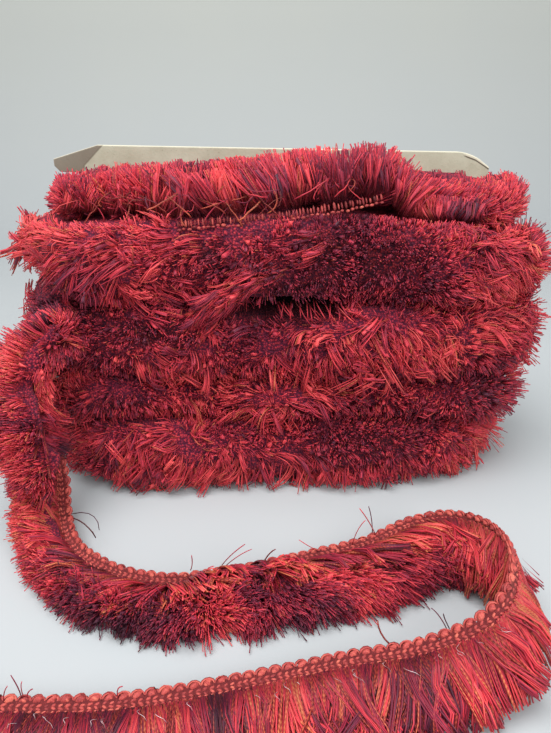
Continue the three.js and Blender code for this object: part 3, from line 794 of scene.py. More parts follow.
def crown_yarns(locks):
    """Paths, shades and facings of the upright yarns that cover the crown from its foot to its crest."""
    places = even_strewn(2 * locks)
    places = places[np.abs(place_around(places[:, 0])[1]) < 0.5][:locks]
    own, share, rise, _, varied = each_yarn(places[:, 0], -0.99 + 1.6 * places[:, 1], CROWN, CROWN_YARNS)
    skin, ahead, upward, outward = turn_ways(CROWN, share, rise)
    root = skin - (PILE_DEPTH + 1 * MM) * outward
    crest, to_right = (np.interp(root[:, 0] / MM, CREST[:, 0], CREST[:, column]) for column in (1, 2))
    out_y = place_around(share)[2]
    crest = np.where(out_y > 0, np.minimum(crest, BACK_CREST), crest)
    lean = (to_right * -np.sign(out_y))[:, None] + varied(0.24, 0.04)
    climb = 0.5 * upward + 0.5 * np.array([0, 0, 1.0])
    start = climb + (0.42 + varied(0.15, 0.05)) * outward + lean * ahead
    start = unit(start + 0.8 * swirls(root[::CROWN_YARNS], CROWN_TUFT)[own] * np.array([1.0, 0.5, 0.3]))
    length = np.maximum(crest * MM - root[:, 2], 7 * MM) / np.maximum(start[:, 2], 0.5)
    length = np.minimum(CROWN_LENGTH, length)[:, None] * (1 + varied(0.06, 0.02))
    along = np.linspace(0, 1, 3)[None, :, None]
    bend = 0.25 * lean * ahead + 0.2 * np.array([0, 0, 1.0]) - 0.15 * outward
    paths = root[:, None] + length[:, None] * (along * start[:, None] + bend[:, None] * (along ** 2 - along))
    shade = CROWN_BRIGHT + 1.2 * patches(root[::CROWN_YARNS])[own] + varied(0.05, 0.12)[:, 0]
    return paths, shade, outward


def bowed(root, bow, tip, stations):
    """Paths of yarns that run from root to tip, drawn towards a point on the way."""
    at = np.linspace(0, 1, stations)[:, None]
    return root[:, None] * (1 - at) ** 2 + 2 * bow[:, None] * at * (1 - at) + tip[:, None] * at ** 2


lock_and_yarns("wound_crown", CROWN_YARNS, *crown_yarns(CROWN_LOCKS), wound_red)
lock_and_yarns("wound_crown_front", CROWN_YARNS, *front_yarns(CROWN_FRONT_LOCKS), wound_red)
strand_x = MM * np.sort(draw.uniform(*STRAND_ACROSS, CROWN_STRANDS))
strand_root = np.stack([np.interp(strand_x, CROWN_LINE[:, 0], CROWN_LINE[:, axis]) for axis in range(3)], -1)
strand_root += MM * draw.uniform(*STRAND_ROOT, (CROWN_STRANDS, 3))
strand_tip = strand_root + MM * draw.uniform(*STRAND_TIP, (CROWN_STRANDS, 3))
strand_bow = (strand_root + strand_tip) / 2 + MM * draw.uniform(*STRAND_BOW, (CROWN_STRANDS, 3))
strands = bowed(strand_root, strand_bow, strand_tip, 7)
strands[:, 1:-1] += 0.2 * MM * draw.normal(size=strands[:, 1:-1].shape)
strand_shade = 0.55 + 0.2 * draw.normal(size=CROWN_STRANDS)
yarn_piece("wound_crown_strands", strands, strand_shade, wound_red, chain_share=0.5)
share, rise, lie = strewn_locks(CROWN, CROWN_END_LOCKS, -1.3, 1.4)
at_end = np.abs(place_around(share)[1]) > 0.3
lie[:, 1] += 0.9  # brushed up
lie[:, 2] = 0.4 + 0.5 * lie[:, 2]
ends = tip_yarns(CROWN, share[at_end], rise[at_end], lie[at_end])
lock_and_yarns("wound_crown_ends", LOCK_YARNS, *ends, wound_red)


# Top of the roll: short cut ends of the fringe that is folded down inside the crown.
# They stand in two strips, in front of the card and behind it.
TOP_LOCKS = 270
TOP_LENGTH = 4.8 * MM
TOP_ROOT = 2.5 * MM  # how far in the pile they begin
TOP_HALF = 104 * MM  # half the length of the strips
TOP_STRIPS = MM * np.array((-20, -3, 3, 12))  # where each begins and ends, from front to back
TOP_FRONT = 0.62  # share of the locks in the front one
TOP_BRIGHT = 0.52
places = even_strewn(TOP_LOCKS)
top_x = TOP_HALF * (2 * places[:, 0] - 1)
top_y = np.interp(places[:, 1], (0, TOP_FRONT, TOP_FRONT + 0.01, 1), TOP_STRIPS)
pile_form = BVHTree.FromPolygons([vert.co for vert in pile_piece.data.vertices],
                                 [face.vertices for face in pile_piece.data.polygons])
top = np.array([pile_form.ray_cast(Vector((x, y, 1)), Vector((0, 0, -1)))[0] for x, y in zip(top_x, top_y)])
own, _ = locks_of(TOP_LOCKS, LOCK_YARNS)
root = top[own] + LOCK_SPREAD * draw.normal(size=(len(own), 3)) * np.array([1, 0.7, 0])
root[:, 2] -= TOP_ROOT
way = 0.9 * swirls(top, TUFT)[own] + 0.1 * draw.normal(size=(len(own), 3)) + np.array([0, 0, 1.0])
length = TOP_LENGTH * (1 + 0.12 * draw.normal(size=(len(own), 1)))
paths = np.stack([root, root + length * unit(way)], 1)
shade = TOP_BRIGHT + patches(top)[own] + 0.12 * draw.normal(size=len(own))
lock_and_yarns("wound_top", LOCK_YARNS, paths, shade, np.tile((0.0, -1.0, 0.2), (len(own), 1)), wound_red)


# Heading of the crown: the part of its woven edge that shows in front, between the crown and the turn below.
# It is a close row of ribs over a row of plump, rust-red stitches.
# Its rows: how far under the line, pitch, half sizes along, out and up, and brightness.
HEADING_ROWS = [(0.0, 1.7, (0.62, 0.9, 1.9), 0.4), (2.5, 2.4, (1.15, 1.1, 0.75), 0.54)]
BRAID_REDS = [
    (0.0, (0.06, 0.009, 0.013, 1)),
    (0.35, (0.25, 0.031, 0.034, 1)),
    (0.65, (0.48, 0.072, 0.064, 1)),
    (1.0, (0.66, 0.16, 0.11, 1)),
]


def stitch_mesh(name, places, axes, sizes, shade, detail=1):
    """Many plump stitches as one mesh: each has a place, three axes as rows, and half sizes along them."""
    form = bmesh.new()
    bmesh.ops.create_icosphere(form, subdivisions=detail, radius=1.0)
    ball = np.array([vert.co for vert in form.verts])
    faces = np.array([[vert.index for vert in face.verts] for face in form.faces])
    form.free()
    points = places[:, None] + np.einsum("bk,nk,nkc->nbc", ball, sizes, axes)
    first = len(ball) * np.arange(len(places))[:, None, None]
    mesh = bpy.data.meshes.new(name)
    mesh.from_pydata(points.reshape(-1, 3), [], (first + faces).reshape(-1, 3).tolist())
    mesh.polygons.foreach_set("use_smooth", np.ones(len(mesh.polygons), dtype=bool))
    mesh.attributes.new("shade", "FLOAT", "POINT").data.foreach_set("value", np.repeat(shade, len(ball)))
    return mesh


def braid_yarn():
    """Matt twisted yarn of the heading: rust to dark red from stitch to stitch, with its plies showing."""
    material = surface("braid_yarn", {
        "Roughness": 0.6, "Specular IOR Level": 0.3, "Sheen Weight": 0.1, "Sheen Tint": (1.0, 0.5, 0.35, 1),
    })
    shade = put(material, "Attribute", {}, attribute_name="shade").outputs["Fac"]
    ply = grain(material, own_place(material), 1500.0, 3.0)
    level = maths(material, "SUBTRACT", maths(material, "MULTIPLY_ADD", ply, 0.7, shade), 0.35)
    return dressed(material, ramp(material, level, BRAID_REDS), ply, 0.6, 0.6 * MM)


def along_line(line, pitch):
    """Even places along a bent line, and the way on at each."""
    run = np.concatenate([[0], np.cumsum(np.linalg.norm(np.diff(line, axis=0), axis=1))])
    at = np.arange(pitch / 2, run[-1], pitch)
    places = np.stack([np.interp(at, run, line[:, axis]) for axis in range(3)], -1)
    return places, unit(np.gradient(places, axis=0))


heading_yarn = braid_yarn()
for number, (under, pitch, half, bright) in enumerate(HEADING_ROWS):
    places, along = along_line(CROWN_LINE[1:-2], pitch * MM)
    out = unit(np.cross(along, np.array([0.15, 0.25, 1.0])))
    up = np.cross(out, along)
    places = places + 0.25 * MM * draw.normal(size=places.shape)
    shade = bright + 0.17 * draw.normal(size=len(places))
    sizes = MM * np.array(half) * (1 + 0.15 * draw.normal(size=(len(places), 3)))
    name = "wound_heading_" + str(number + 1)
    mesh = stitch_mesh(name, places - under * MM * up, np.stack([along, out, up], 1), sizes, shade)
    finished(name, mesh, heading_yarn)


# Loose heading: a narrow woven braid with a row of plump loops along its free edge, two rows of stitches and
# a rust-red binding thread where the fringe begins. It drops off the roll, runs right and comes back to
# a cut end.
LOOP_PITCH = 5.1 * MM
STITCH_PITCH = 2.55 * MM
BRAID_THICK = 1.6 * MM
BRAID_NEAR = -1.9 * MM  # across the heading: the outside of its loops
LOOP_FOOT = 0.9 * MM  # where the loops begin
BRAID_FAR = 8.1 * MM  # and the end of the strip that holds the fringe's roots
BRAID_STEP = 1.4 * MM
# Its route along the line where the loops begin: places in millimetres and the lean of the fringe in degrees,
# which is 0 level to the right of the way the heading runs, 90 straight down and 180 level to the left.
ROUTE = np.array([
    (-88, -38, 91, -5), (-104, -56, 88, -15), (-114, -66, 70, -12), (-111, -74, 48, -4),
    (-107, -79, 28, 0), (-105, -88, 13, 4), (-98, -102, 8, 8), (-81, -116.6, 7, 9),
    (-49, -127, 7, 9), (-19, -123, 7, 9), (15, -114.5, 8, 11), (48, -105.5, 10, 15),
    (70, -98, 15, 25), (85, -99.5, 20, 43), (96, -110, 26, 72), (101, -129, 32, 106),
    (97, -148, 35, 126), (89, -161, 33, 139), (77, -167, 26, 149), (61, -168, 17, 158),
    (28, -169, 9, 167), (-11, -176, 6.5, 170), (-51, -183, 6, 171), (-95, -184.5, 6, 171),
    (-124, -183, 6, 171),
], dtype=float)
ROUTE[:, :3] *= MM
ROUTE_ROWS = np.arange(len(ROUTE))
ROUTE_RUN = np.concatenate([[0], np.cumsum(np.linalg.norm(np.diff(ROUTE[:, :3], axis=0), axis=1))])
HEADING_LENGTH = ROUTE_RUN[-1]


def heading_at(run):
    """Place on the route, the way on, the way the fringe points, and the normal of the heading's face."""
    row = np.clip(np.searchsorted(ROUTE_RUN, run, side="right") - 1, 0, len(ROUTE) - 2)
    chord = (ROUTE_RUN[row + 1] - ROUTE_RUN[row])[:, None]
    slope = np.gradient(ROUTE, ROUTE_RUN, axis=0)
    t = (run - ROUTE_RUN[row])[:, None] / chord
    a, b, da, db = ROUTE[row], ROUTE[row + 1], slope[row] * chord, slope[row + 1] * chord
    spot = (a * (2 * t ** 3 - 3 * t ** 2 + 1) + b * (3 * t ** 2 - 2 * t ** 3)
            + da * (t ** 3 - 2 * t ** 2 + t) + db * (t ** 3 - t ** 2))
    pace = (6 * (a - b) * (t ** 2 - t) + da * (3 * t ** 2 - 4 * t + 1) + db * (3 * t ** 2 - 2 * t))
    along = unit(pace[:, :3])
    right = unit(np.cross(along, np.array([0, 0, 1.0])))
    lean = np.radians(spot[:, 3:])
    fringe = right * np.cos(lean) + np.cross(along, right) * np.sin(lean)
    return spot[:, :3], along, fringe, np.cross(along, fringe)


def woven_heading():
    """Woven ground of the heading, seen between its stitches: fine crosswise ribs in dark and rust red,
    darkened overall as painted shade between the stitches.
    """
    material = surface("woven_heading", {
        "Roughness": 0.7, "Specular IOR Level": 0.2, "Sheen Weight": 0.1, "Sheen Tint": (1.0, 0.5, 0.35, 1),
    })
    over = put(material, "UVMap", {}, uv_map="weave").outputs["UV"]
    ribs = put(material, "TexWave", {"Vector": over, "Scale": 1.0, "Distortion": 2.0, "Detail Scale": 3.0},
               bands_direction="X").outputs["Fac"]
    uneven = grain(material, own_place(material), 600.0, 3.0)
    # Painted shade: the ground is darkened overall, as the gaps between the stitches lie in shade.
    level = maths(material, "MULTIPLY", maths(material, "MULTIPLY", ribs, uneven), 0.75)
    return dressed(material, ramp(material, level, BRAID_REDS), ribs, 0.6, 0.6 * MM)


weave = bmesh.new()
braid_steps = int(HEADING_LENGTH / BRAID_STEP)
bmesh.ops.create_grid(weave, x_segments=braid_steps, y_segments=5, size=1.0)
weave_uv = weave.loops.layers.uv.new("weave")
for face in weave.faces:
    for loop in face.loops:
        loop[weave_uv].uv = ((loop.vert.co.x + 1) * HEADING_LENGTH / STITCH_PITCH, loop.vert.co.y)
flat_x = np.array([vert.co.x for vert in weave.verts])
flat_y = np.array([vert.co.y for vert in weave.verts])
runs = np.clip((flat_x + 1) / 2 * HEADING_LENGTH, 1e-6, HEADING_LENGTH - 1e-6)
scallop = np.abs(np.sin(math.pi * runs / LOOP_PITCH)) ** 0.7
near_edge = LOOP_FOOT + (BRAID_NEAR + 0.8 * MM - LOOP_FOOT) * scallop
across = near_edge + (BRAID_FAR - near_edge) * (flat_y + 1) / 2
spots, _, outs, ups = heading_at(runs)
spots = spots + across[:, None] * outs + 0.5 * BRAID_THICK * ups
for vert, spot in zip(weave.verts, spots):
    vert.co = spot
bmesh.ops.recalc_face_normals(weave, faces=weave.faces)
bmesh.ops.solidify(weave, geom=weave.faces, thickness=BRAID_THICK)
strip = finished("loose_heading", mesh_of("loose_heading", weave), woven_heading())
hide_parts("loose_braid")

# Stitches of the loose heading: twisted yarn that stands up from both faces of the weave.
# Two rows are slanted and plump like a rope, the inner one is small and close, and knots fill the loops.
STITCH_ROWS = [
    # across, pitch, slant in degrees, half long, half wide, half high, brightness
    (1.75, 2.55, 25, 1.35, 0.68, 1.6, 0.58),
    (2.95, 2.55, 155, 1.35, 0.68, 1.55, 0.56),
    (4.05, 2.55, 12, 1.4, 0.5, 1.6, 0.72),
    (-0.35, 5.1, 28, 2.05, 1.15, 1.7, 0.61),
    (-0.15, 5.1, -24, 1.5, 0.75, 1.85, 0.66),
]
LOOP_YARN = 1.2 * MM
LOOP_BRIGHT = 0.6
for number, (across, pitch, slant, half_long, half_wide, half_high, bright) in enumerate(STITCH_ROWS):
    runs = np.arange(pitch * MM / 2, HEADING_LENGTH - 2 * MM, pitch * MM)
    spots, alongs, outs, ups = heading_at(runs)
    tilt = np.radians(slant + 6 * draw.normal(size=(len(runs), 1)))
    places = spots + across * MM * outs + 0.1 * MM * draw.normal(size=spots.shape)
    axes = np.stack([
        alongs * np.cos(tilt) + outs * np.sin(tilt), outs * np.cos(tilt) - alongs * np.sin(tilt), ups,
    ], 1)
    sizes = MM * np.array((half_long, half_wide, half_high)) * (1 + 0.06 * draw.normal(size=(len(runs), 3)))
    shade = bright + 0.12 * draw.normal(size=len(runs))
    name = "loose_stitches_" + str(number + 1)
    mesh = stitch_mesh(name, places, axes, sizes, shade, 2 if half_long > 1.45 else 1)
    finished(name, mesh, heading_yarn)

loop_runs = np.arange(LOOP_PITCH / 2, HEADING_LENGTH - LOOP_PITCH / 2, LOOP_PITCH)
arch = np.linspace(0.06, 0.94, 6) * math.pi
spot, _, out, up = heading_at((loop_runs[:, None] + 0.5 * LOOP_PITCH * np.cos(arch)).ravel())
across = np.tile(LOOP_FOOT + (BRAID_NEAR - LOOP_FOOT) * np.sin(arch) ** 0.8, len(loop_runs))[:, None]
loops = np.concatenate([spot + across * out + side * 0.5 * MM * up for side in (-1, 1)])
loops = loops.reshape(-1, len(arch), 3)
loop_shade = LOOP_BRIGHT + 0.1 * draw.normal(size=len(loops))
loop_red = cut_rayon("loop_yarn", BRAID_REDS, 1.0)
yarn_piece("loose_loops", loops, loop_shade, loop_red, LOOP_YARN, 0.0)


# Loose fringe: the cut yarn of the loose end, caught in the heading in small bunches. It is fluffed out brush
# side up on the way to the turn, hangs at the turn, and lies combed flat, face up, on the way back.
FRINGE_LENGTH = 27 * MM
# Share of that length which the yarns on top have, by row of the route.
LENGTHS = (
    (0, 9, 11, 13.5, 14.5, 15.5, 17.5, 19, 24),
    (0.75, 0.75, 0.85, 0.9, 0.95, 0.85, 0.85, 1.0, 1.0),
)
FRINGE_THICK = 0.75 * MM
FRINGE_CHAIN = 0.24  # share of the yarns that are knitted chain
GATHER = 0.5  # how far a bunch draws together towards its tips
# By row of the route: how far the yarns stand off the heading's plane and how unevenly, in degrees,
# how they droop at each station, how they are combed along the heading, and how far up the heading they grow.
LIE = np.array([
    # row, stand, uneven, droop, combed, nearest root, farthest root
    (0.0, 40, 25, 0.10, 0.0, 3.0, 7.0),
    (2.4, 36, 22, 0.14, 0.0, 4.0, 7.0),
    (4.0, 30, 16, 0.20, 0.0, 4.5, 7.5),
    (6.2, 30, 12, 0.26, -0.5, 4.5, 7.5),
    (7.6, 30, 12, 0.28, -0.8, 4.5, 7.5),
    (8.2, 32, 15, 0.28, 0.0, 4.0, 7.0),
    (8.6, 46, 26, 0.28, 0.3, 0.0, 6.0),
    (9.4, 42, 26, 0.28, 0.2, 0.0, 6.0),
    (10.0, 32, 16, 0.28, 0.6, 3.5, 7.0),
    (11.5, 30, 12, 0.28, 0.9, 4.0, 7.5),
    (13.0, 28, 12, 0.22, 0.8, 2.0, 6.5),
    (15.0, 22, 12, 0.18, 0.3, 1.2, 6.0),
    (16.4, 10, 10, 0.30, 0.1, 3.0, 6.5),
    (17.6, 4, 8, 0.26, 0.0, 4.3, 5.5),
    (18.5, 2, 6, 0.16, 0.0, 4.3, 5.5),
    (24.0, 2, 5, 0.12, 0.0, 4.3, 5.5),
])
STRETCHES = [
    # name, first and last row of the route, bunches, yarns in a bunch, its half width, bends of a yarn
    ("drop", 0.4, 4.0, 190, 8, 1.6, 4),
    ("bend", 4.0, 6.4, 130, 8, 1.6, 4),
    ("run_left", 6.4, 8.0, 130, 8, 1.6, 4),
    ("run_middle", 8.0, 9.7, 130, 8, 1.6, 4),
    ("run_right", 9.7, 11.3, 130, 8, 1.6, 4),
    ("rise", 11.3, 15.4, 250, 8, 1.6, 4),
    ("fall", 15.4, 18.8, 110, 11, 2.2, 5),
    ("return_right", 18.8, 21.0, 85, 13, 3.0, 6),
    ("return_left", 21.0, 24.0, 110, 13, 3.0, 5),
]
# Shade of the yarns on top by row of the route. Round the turn, rows 12 to 16.5, it is raised as painted
# light on the turn's inner side.
FRINGE_SHADE = (
    (0, 4, 8, 10, 12, 13.5, 16.5, 18.5, 20, 24),
    (0.55, 0.55, 0.48, 0.48, 0.62, 0.74, 0.74, 0.52, 0.42, 0.42),
)
# Body of the fluffed fringe, by row of the route: how far down the fringe its middle is and how far over it,
# and half its width and height, in millimetres.
FLUFF = np.array([
    # row, down, over, half wide, half high
    (0.5, 8, 3, 4, 3), (1.4, 12, 6, 10, 7.5), (3.0, 13, 5, 9, 6.5), (4.5, 12, 3, 7.5, 5.5),
    (6.0, 14, 1.5, 8, 4), (8.0, 17, 1, 8, 3.5), (11.0, 17, 1, 8, 3.5), (13.0, 14, 2, 7, 3),
    (14.6, 12, 2, 6, 2.5), (15.4, 11, 1, 2, 1),
])
FLUFF_STEPS = 190
FLUFF_SIDES = 16
FLUFF_LOCKS = 2250
FLUFF_TUFT = 11 * MM
FLUFF_LUMP = 12 * MM
FLUFF_PATCH = 2.1  # times the contrast of the winding's patches
# Length of its tips in millimetres and how far they lie down the fringe, by row of the route.
FLUFF_TIP = ((0, 3.3, 4.4, 6, 8, 10, 15), (10.5, 10, 6.5, 6, 8, 13, 12))
FLUFF_LAID = ((0.5, 1.5, 4, 5.5, 8.5, 10, 15), (0.3, 0.8, 0.6, 0.1, 0.2, 1.1, 1.1))
# Shade of the tips by row of the route, and how much darker they are along the edge that lies on the floor,
# as painted shade.
FLUFF_SHADE = (
    (0.5, 1.2, 1.8, 2.4, 2.9, 3.4, 4.0, 4.4, 5.0, 5.6, 6.5, 7.5, 9.2, 10, 12, 15),
    (0.38, 0.5, 0.6, 0.4, 0.36, 0.52, 0.6, 0.46, 0.64, 0.6, 0.5, 0.38, 0.42, 0.53, 0.6, 0.6),
)
FLOOR_EDGE_SHADE = 0.12


def fluff_at(row, around):
    """Middle of the fluffed fringe at a row of the route, its reach and way out, and the ways on and down."""
    down, over, wide, high = (MM * np.interp(row, FLUFF[:, 0], column)[:, None] for column in FLUFF.T[1:])
    spot, along, fringe, face = heading_at(np.interp(row, ROUTE_ROWS, ROUTE_RUN))
    out = wide * np.cos(around)[:, None] * fringe - high * np.sin(around)[:, None] * face
    way = unit(np.cos(around)[:, None] / wide * fringe - np.sin(around)[:, None] / high * face)
    return spot + down * fringe - over * face, out, way, along, fringe


def fluff_lumps(places):
    return np.array([noise.noise(Vector(place) / FLUFF_LUMP) for place in places])


def fluff_tips(locks):
    """Paths, shades and facings of the cut ends that stand out of the fluffed fringe all over."""
    places = even_strewn(locks)
    ends = np.interp(FLUFF[[0, -1], 0], ROUTE_ROWS, ROUTE_RUN)
    row = np.interp(ends[0] + (ends[1] - ends[0]) * places[:, 0], ROUTE_RUN, ROUTE_ROWS)
    around = math.pi * (-0.3 + places[:, 1] * np.interp(row, (1.5, 3.2), (1.4, 0.9)))
    own, varied = locks_of(locks, LOCK_YARNS, 3)
    middle, out, way, along, fringe = (part[own] for part in fluff_at(row, around))
    aside = LOCK_SPREAD * draw.normal(size=(len(own), 3))
    aside[::LOCK_YARNS] = 0
    skin = (middle + out)[::LOCK_YARNS]
    root = middle + (0.65 + 0.5 * fluff_lumps(skin)[own, None]) * out + aside
    tuft = swirls(skin, FLUFF_TUFT)[own]
    aslant = (tuft * np.array([0.6, 0.6, 1.0])).sum(1, keepdims=True) * along
    laid = np.interp(row, *FLUFF_LAID)[own, None]
    combed = np.interp(row, LIE[:, 0], LIE[:, 4])[own, None]
    way = unit(way + (0.4 + laid) * fringe + laid * combed * along + 1.1 * tuft + aslant + varied(0.2, 0.08))
    length = MM * np.interp(row, *FLUFF_TIP)[own, None] * (1 + varied(0.15, 0.07)[:, :1])
    paths = np.stack([root, root + length * way], 1)
    lift_off_floor(paths)
    # Painted shade: tips along the edge that lies on the floor are darker.
    shade = np.interp(row, *FLUFF_SHADE) - FLOOR_EDGE_SHADE * (around < 0.15 * math.pi)
    shade += FLUFF_PATCH * patches(skin)
    return paths, shade[own] + varied(0.05, 0.12)[:, 0], way


fluff = bmesh.new()
bmesh.ops.create_grid(fluff, x_segments=FLUFF_STEPS, y_segments=FLUFF_SIDES, size=1.0)
flat = np.array([vert.co for vert in fluff.verts])
middle, out, *_ = fluff_at(np.interp(flat[:, 0], (-1, 1), FLUFF[[0, -1], 0]), math.pi * flat[:, 1])
form = middle + (0.95 + 0.55 * fluff_lumps(middle + out)[:, None]) * out
form[:, 2] = np.maximum(form[:, 2], FLOOR_REST)
for vert, place in zip(fluff.verts, form):
    vert.co = place
loose_red = cut_rayon("loose_rayon", YARN_REDS, 0.6)
fringe_pieces = [finished("loose_fluff", mesh_of("loose_fluff", closed(fluff)), pile_red)]
fringe_pieces += lock_and_yarns("loose_tips", LOCK_YARNS, *fluff_tips(FLUFF_LOCKS), loose_red)


def fringe_yarns(first_row, last_row, bunches, yarns, half_wide, bends):
    """Paths and shades of the yarns between two rows of the route, in wavy bunches gathered at the tips."""
    start, stop = np.interp([first_row, last_row], ROUTE_ROWS, ROUTE_RUN)
    bunch_run = start + (stop - start) * (np.arange(bunches) + draw.random(bunches)) / bunches
    own, varied = locks_of(bunches, yarns)
    count = len(own)
    aside = half_wide * MM * draw.uniform(-1, 1, count)
    run = np.clip(bunch_run[own] + aside, 0, HEADING_LENGTH - 0.5 * MM)
    row = np.interp(run, ROUTE_RUN, ROUTE_ROWS)
    spot, along, fringe, face = heading_at(run)
    lie = (np.interp(row, LIE[:, 0], column) for column in LIE.T[1:])
    stand, uneven, droop, combed, nearest, farthest = lie
    brushed = np.clip((stand - 5) / 20, 0, 1)
    under = np.where(np.arange(bunches) % 2, 1.0, 0.0)[own]
    stand = stand * (1.25 - 0.95 * under)
    lift = np.clip(np.radians(stand + uneven * (1 - 0.5 * under) * varied(0.9, 0.2)), -1.2, 1.15)
    sway = combed + np.clip(varied(0.3, 0.03), -0.45, 0.45) - GATHER * aside / FRINGE_LENGTH
    way = unit(fringe * np.cos(lift)[:, None] - face * np.sin(lift)[:, None] + along * sway[:, None])
    curl = 0.08 * draw.normal(size=(bunches, 3))[own]
    length = FRINGE_LENGTH * np.interp(row, *LENGTHS) * (1 + varied(0.05, 0.02))
    rest = FLOOR_REST + 1.3 * MM * np.abs(draw.normal(size=count))
    root = MM * (nearest + (farthest - nearest) * draw.random(bunches)[own] ** 1.6 + varied(0, 0.4))
    proud = np.where(draw.random(bunches)[own] < 0.2 + 0.8 * brushed, -1, 1)
    proud = (BRAID_THICK / 2 + 0.3 * MM) * proud
    place = spot + root[:, None] * fringe + proud[:, None] * face
    stations = [place]
    for _ in range(bends - 1):
        place = place + (length / (bends - 1))[:, None] * way
        low = place[:, 2] < rest
        place[:, 2] = np.maximum(place[:, 2], rest)
        way = way - droop[:, None] * np.array([0, 0, 1.0]) + curl + 0.02 * draw.normal(size=(count, 3))
        way[:, 2] = np.where(low, np.maximum(way[:, 2], 0), way[:, 2])
        way = unit(way)
        stations.append(place)
    paths = np.stack(stations, 1)
    down = np.linspace(0, 1, bends)
    waves = draw.uniform(0.5, 1.1, bunches)[own, None] * down
    wave = np.sin(2 * math.pi * (waves + draw.random(bunches)[own, None]))
    paths += (varied(1.9 * MM, 0.5 * MM)[:, None] * wave * down)[:, :, None] * along[:, None]
    # Painted shade: the under layer of the brushed stretches is a little darker, as shaded by the layer on
    # top.
    shade = np.interp(row, *FRINGE_SHADE) - 0.06 * under * brushed + 1.4 * patches(spot[::yarns])[own]
    shade += varied(0.13, 0.13)
    return paths, shade


for name, *stretch in STRETCHES:
    paths, shade = fringe_yarns(*stretch)
    piece = yarn_piece("loose_yarns_" + name, paths, shade, loose_red, FRINGE_THICK, FRINGE_CHAIN)
    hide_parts("loose_fringe_" + name)
    fringe_pieces.append(piece)


# Brushed-back fringe: locks at the top of the drop that have been combed back over its heading and hide it.
# They are rooted in front of the fluffed fringe and run down across the heading's face.
BACK_LOCKS = 200
BACK_ROWS = (0.1, 3.1)  # of the route
BACK_ROOTS = (4, 12)  # millimetres down the fringe
BACK_LENGTH = 13 * MM
BACK_PROUD = 2.6 * MM  # from the middle of the heading to their roots
BACK_BRIGHT = 0.04  # how much brighter they are than the tips


def brushed_back(locks):
    """Paths, shades and facings of the locks that lie back over the heading."""
    run = draw.uniform(*np.interp(BACK_ROWS, ROUTE_ROWS, ROUTE_RUN), locks)
    row = np.interp(run, ROUTE_RUN, ROUTE_ROWS)
    own, varied = locks_of(locks, LOCK_YARNS, 3)
    spot, along, fringe, face = (part[own] for part in heading_at(run))
    root = spot + MM * draw.uniform(*BACK_ROOTS, locks)[own, None] * fringe - BACK_PROUD * face
    root += 0.6 * LOCK_SPREAD * draw.normal(size=root.shape)
    tuft = swirls(spot[::LOCK_YARNS], FLUFF_TUFT)[own]
    way = unit(0.75 * along - fringe - 0.12 * face + 0.5 * tuft + varied(0.15, 0.08))
    length = BACK_LENGTH * (1 + varied(0.15, 0.07)[:, :1])
    shade = BACK_BRIGHT + np.interp(row, *FLUFF_SHADE) + FLUFF_PATCH * patches(spot[::LOCK_YARNS])
    return np.stack([root, root + length * way], 1), shade[own] + varied(0.08, 0.12)[:, 0], -face


fringe_pieces += lock_and_yarns("loose_brushed_back", LOCK_YARNS, *brushed_back(BACK_LOCKS), loose_red)


# Stray threads and clear filaments of the loose end: single yarns that have worked loose and stand up,
# and short ends of the clear thread that binds the fringe, which glint where it begins.
STRAY_THICK = 0.55 * MM
STRAYS = MM * np.array([
    # three points of each, from the root
    ((39, -109, 9), (41, -110, 19), (44, -111, 26)), ((52, -104, 9), (47, -105, 20), (42, -105, 28)),
    ((50, -102, 9), (49, -101, 18), (47, -101, 26)), ((69, -163, 16), (66, -161, 21), (62, -161, 26)),
    ((70, -162, 16), (68, -161, 20), (67, -161, 23)), ((-101, -92, 14), (-88, -100, 20), (-84, -104, 14)),
    ((-100, -94, 13), (-90, -104, 17), (-86, -105, 10)), ((-37, -124, 8), (-36, -124, 12), (-36, -124, 17)),
    ((-23, -121, 8), (-18, -120, 14), (-12, -119, 19)), ((-21, -121, 8), (-15, -120, 13), (-9, -119, 16)),
    ((-4, -120, 8), (-1, -120, 14), (2, -120, 17)), ((23, -113, 9), (18, -114, 13), (13, -114, 17)),
    ((-55, -184, 6), (-55, -183, 10), (-53, -183, 12)), ((-90, -184, 6), (-90, -184, 12), (-92, -183, 18)),
    ((-89, -184, 6), (-89, -184, 12), (-88, -184, 16)), ((-88, -184, 6), (-87, -184, 10), (-85, -184, 12)),
    ((-96, -185, 6), (-95, -185, 11), (-93, -185, 15)), ((49, -167, 10), (44, -163, 13), (42, -161, 19)),
], dtype=float)
FILAMENTS = 34
FILAMENT_THICK = 0.18 * MM
FILAMENT_PALE = ((0.42, 0.2, 0.22, 1), (0.75, 0.62, 0.65, 1))
FILAMENT_ROWS = (17.5, 23.8)  # of the route
FILAMENT_ROOTS = (4.5, 8)  # millimetres across the heading
FILAMENT_SWING = (1.5, 4.5)  # millimetres down the fringe


def clear_thread():
    """Clear filament: nearly colourless, pinkish where the red shows through, and shiny."""
    material = surface("clear_thread", {"Roughness": 0.2, "Specular IOR Level": 0.6})
    tint = grain(material, own_place(material), 300.0, 1.0)
    return dressed(material, ramp(material, tint, [(0.35, FILAMENT_PALE[0]), (0.65, FILAMENT_PALE[1])]))


stray_root, stray_middle, stray_tip = STRAYS.swapaxes(0, 1)
stray_paths = bowed(stray_root, 2 * stray_middle - (stray_root + stray_tip) / 2, stray_tip, 6)
stray_shade = 0.42 + 0.2 * draw.normal(size=len(STRAYS))
fringe_pieces.append(yarn_piece("loose_strays", stray_paths, stray_shade, loose_red, STRAY_THICK, 0.2))

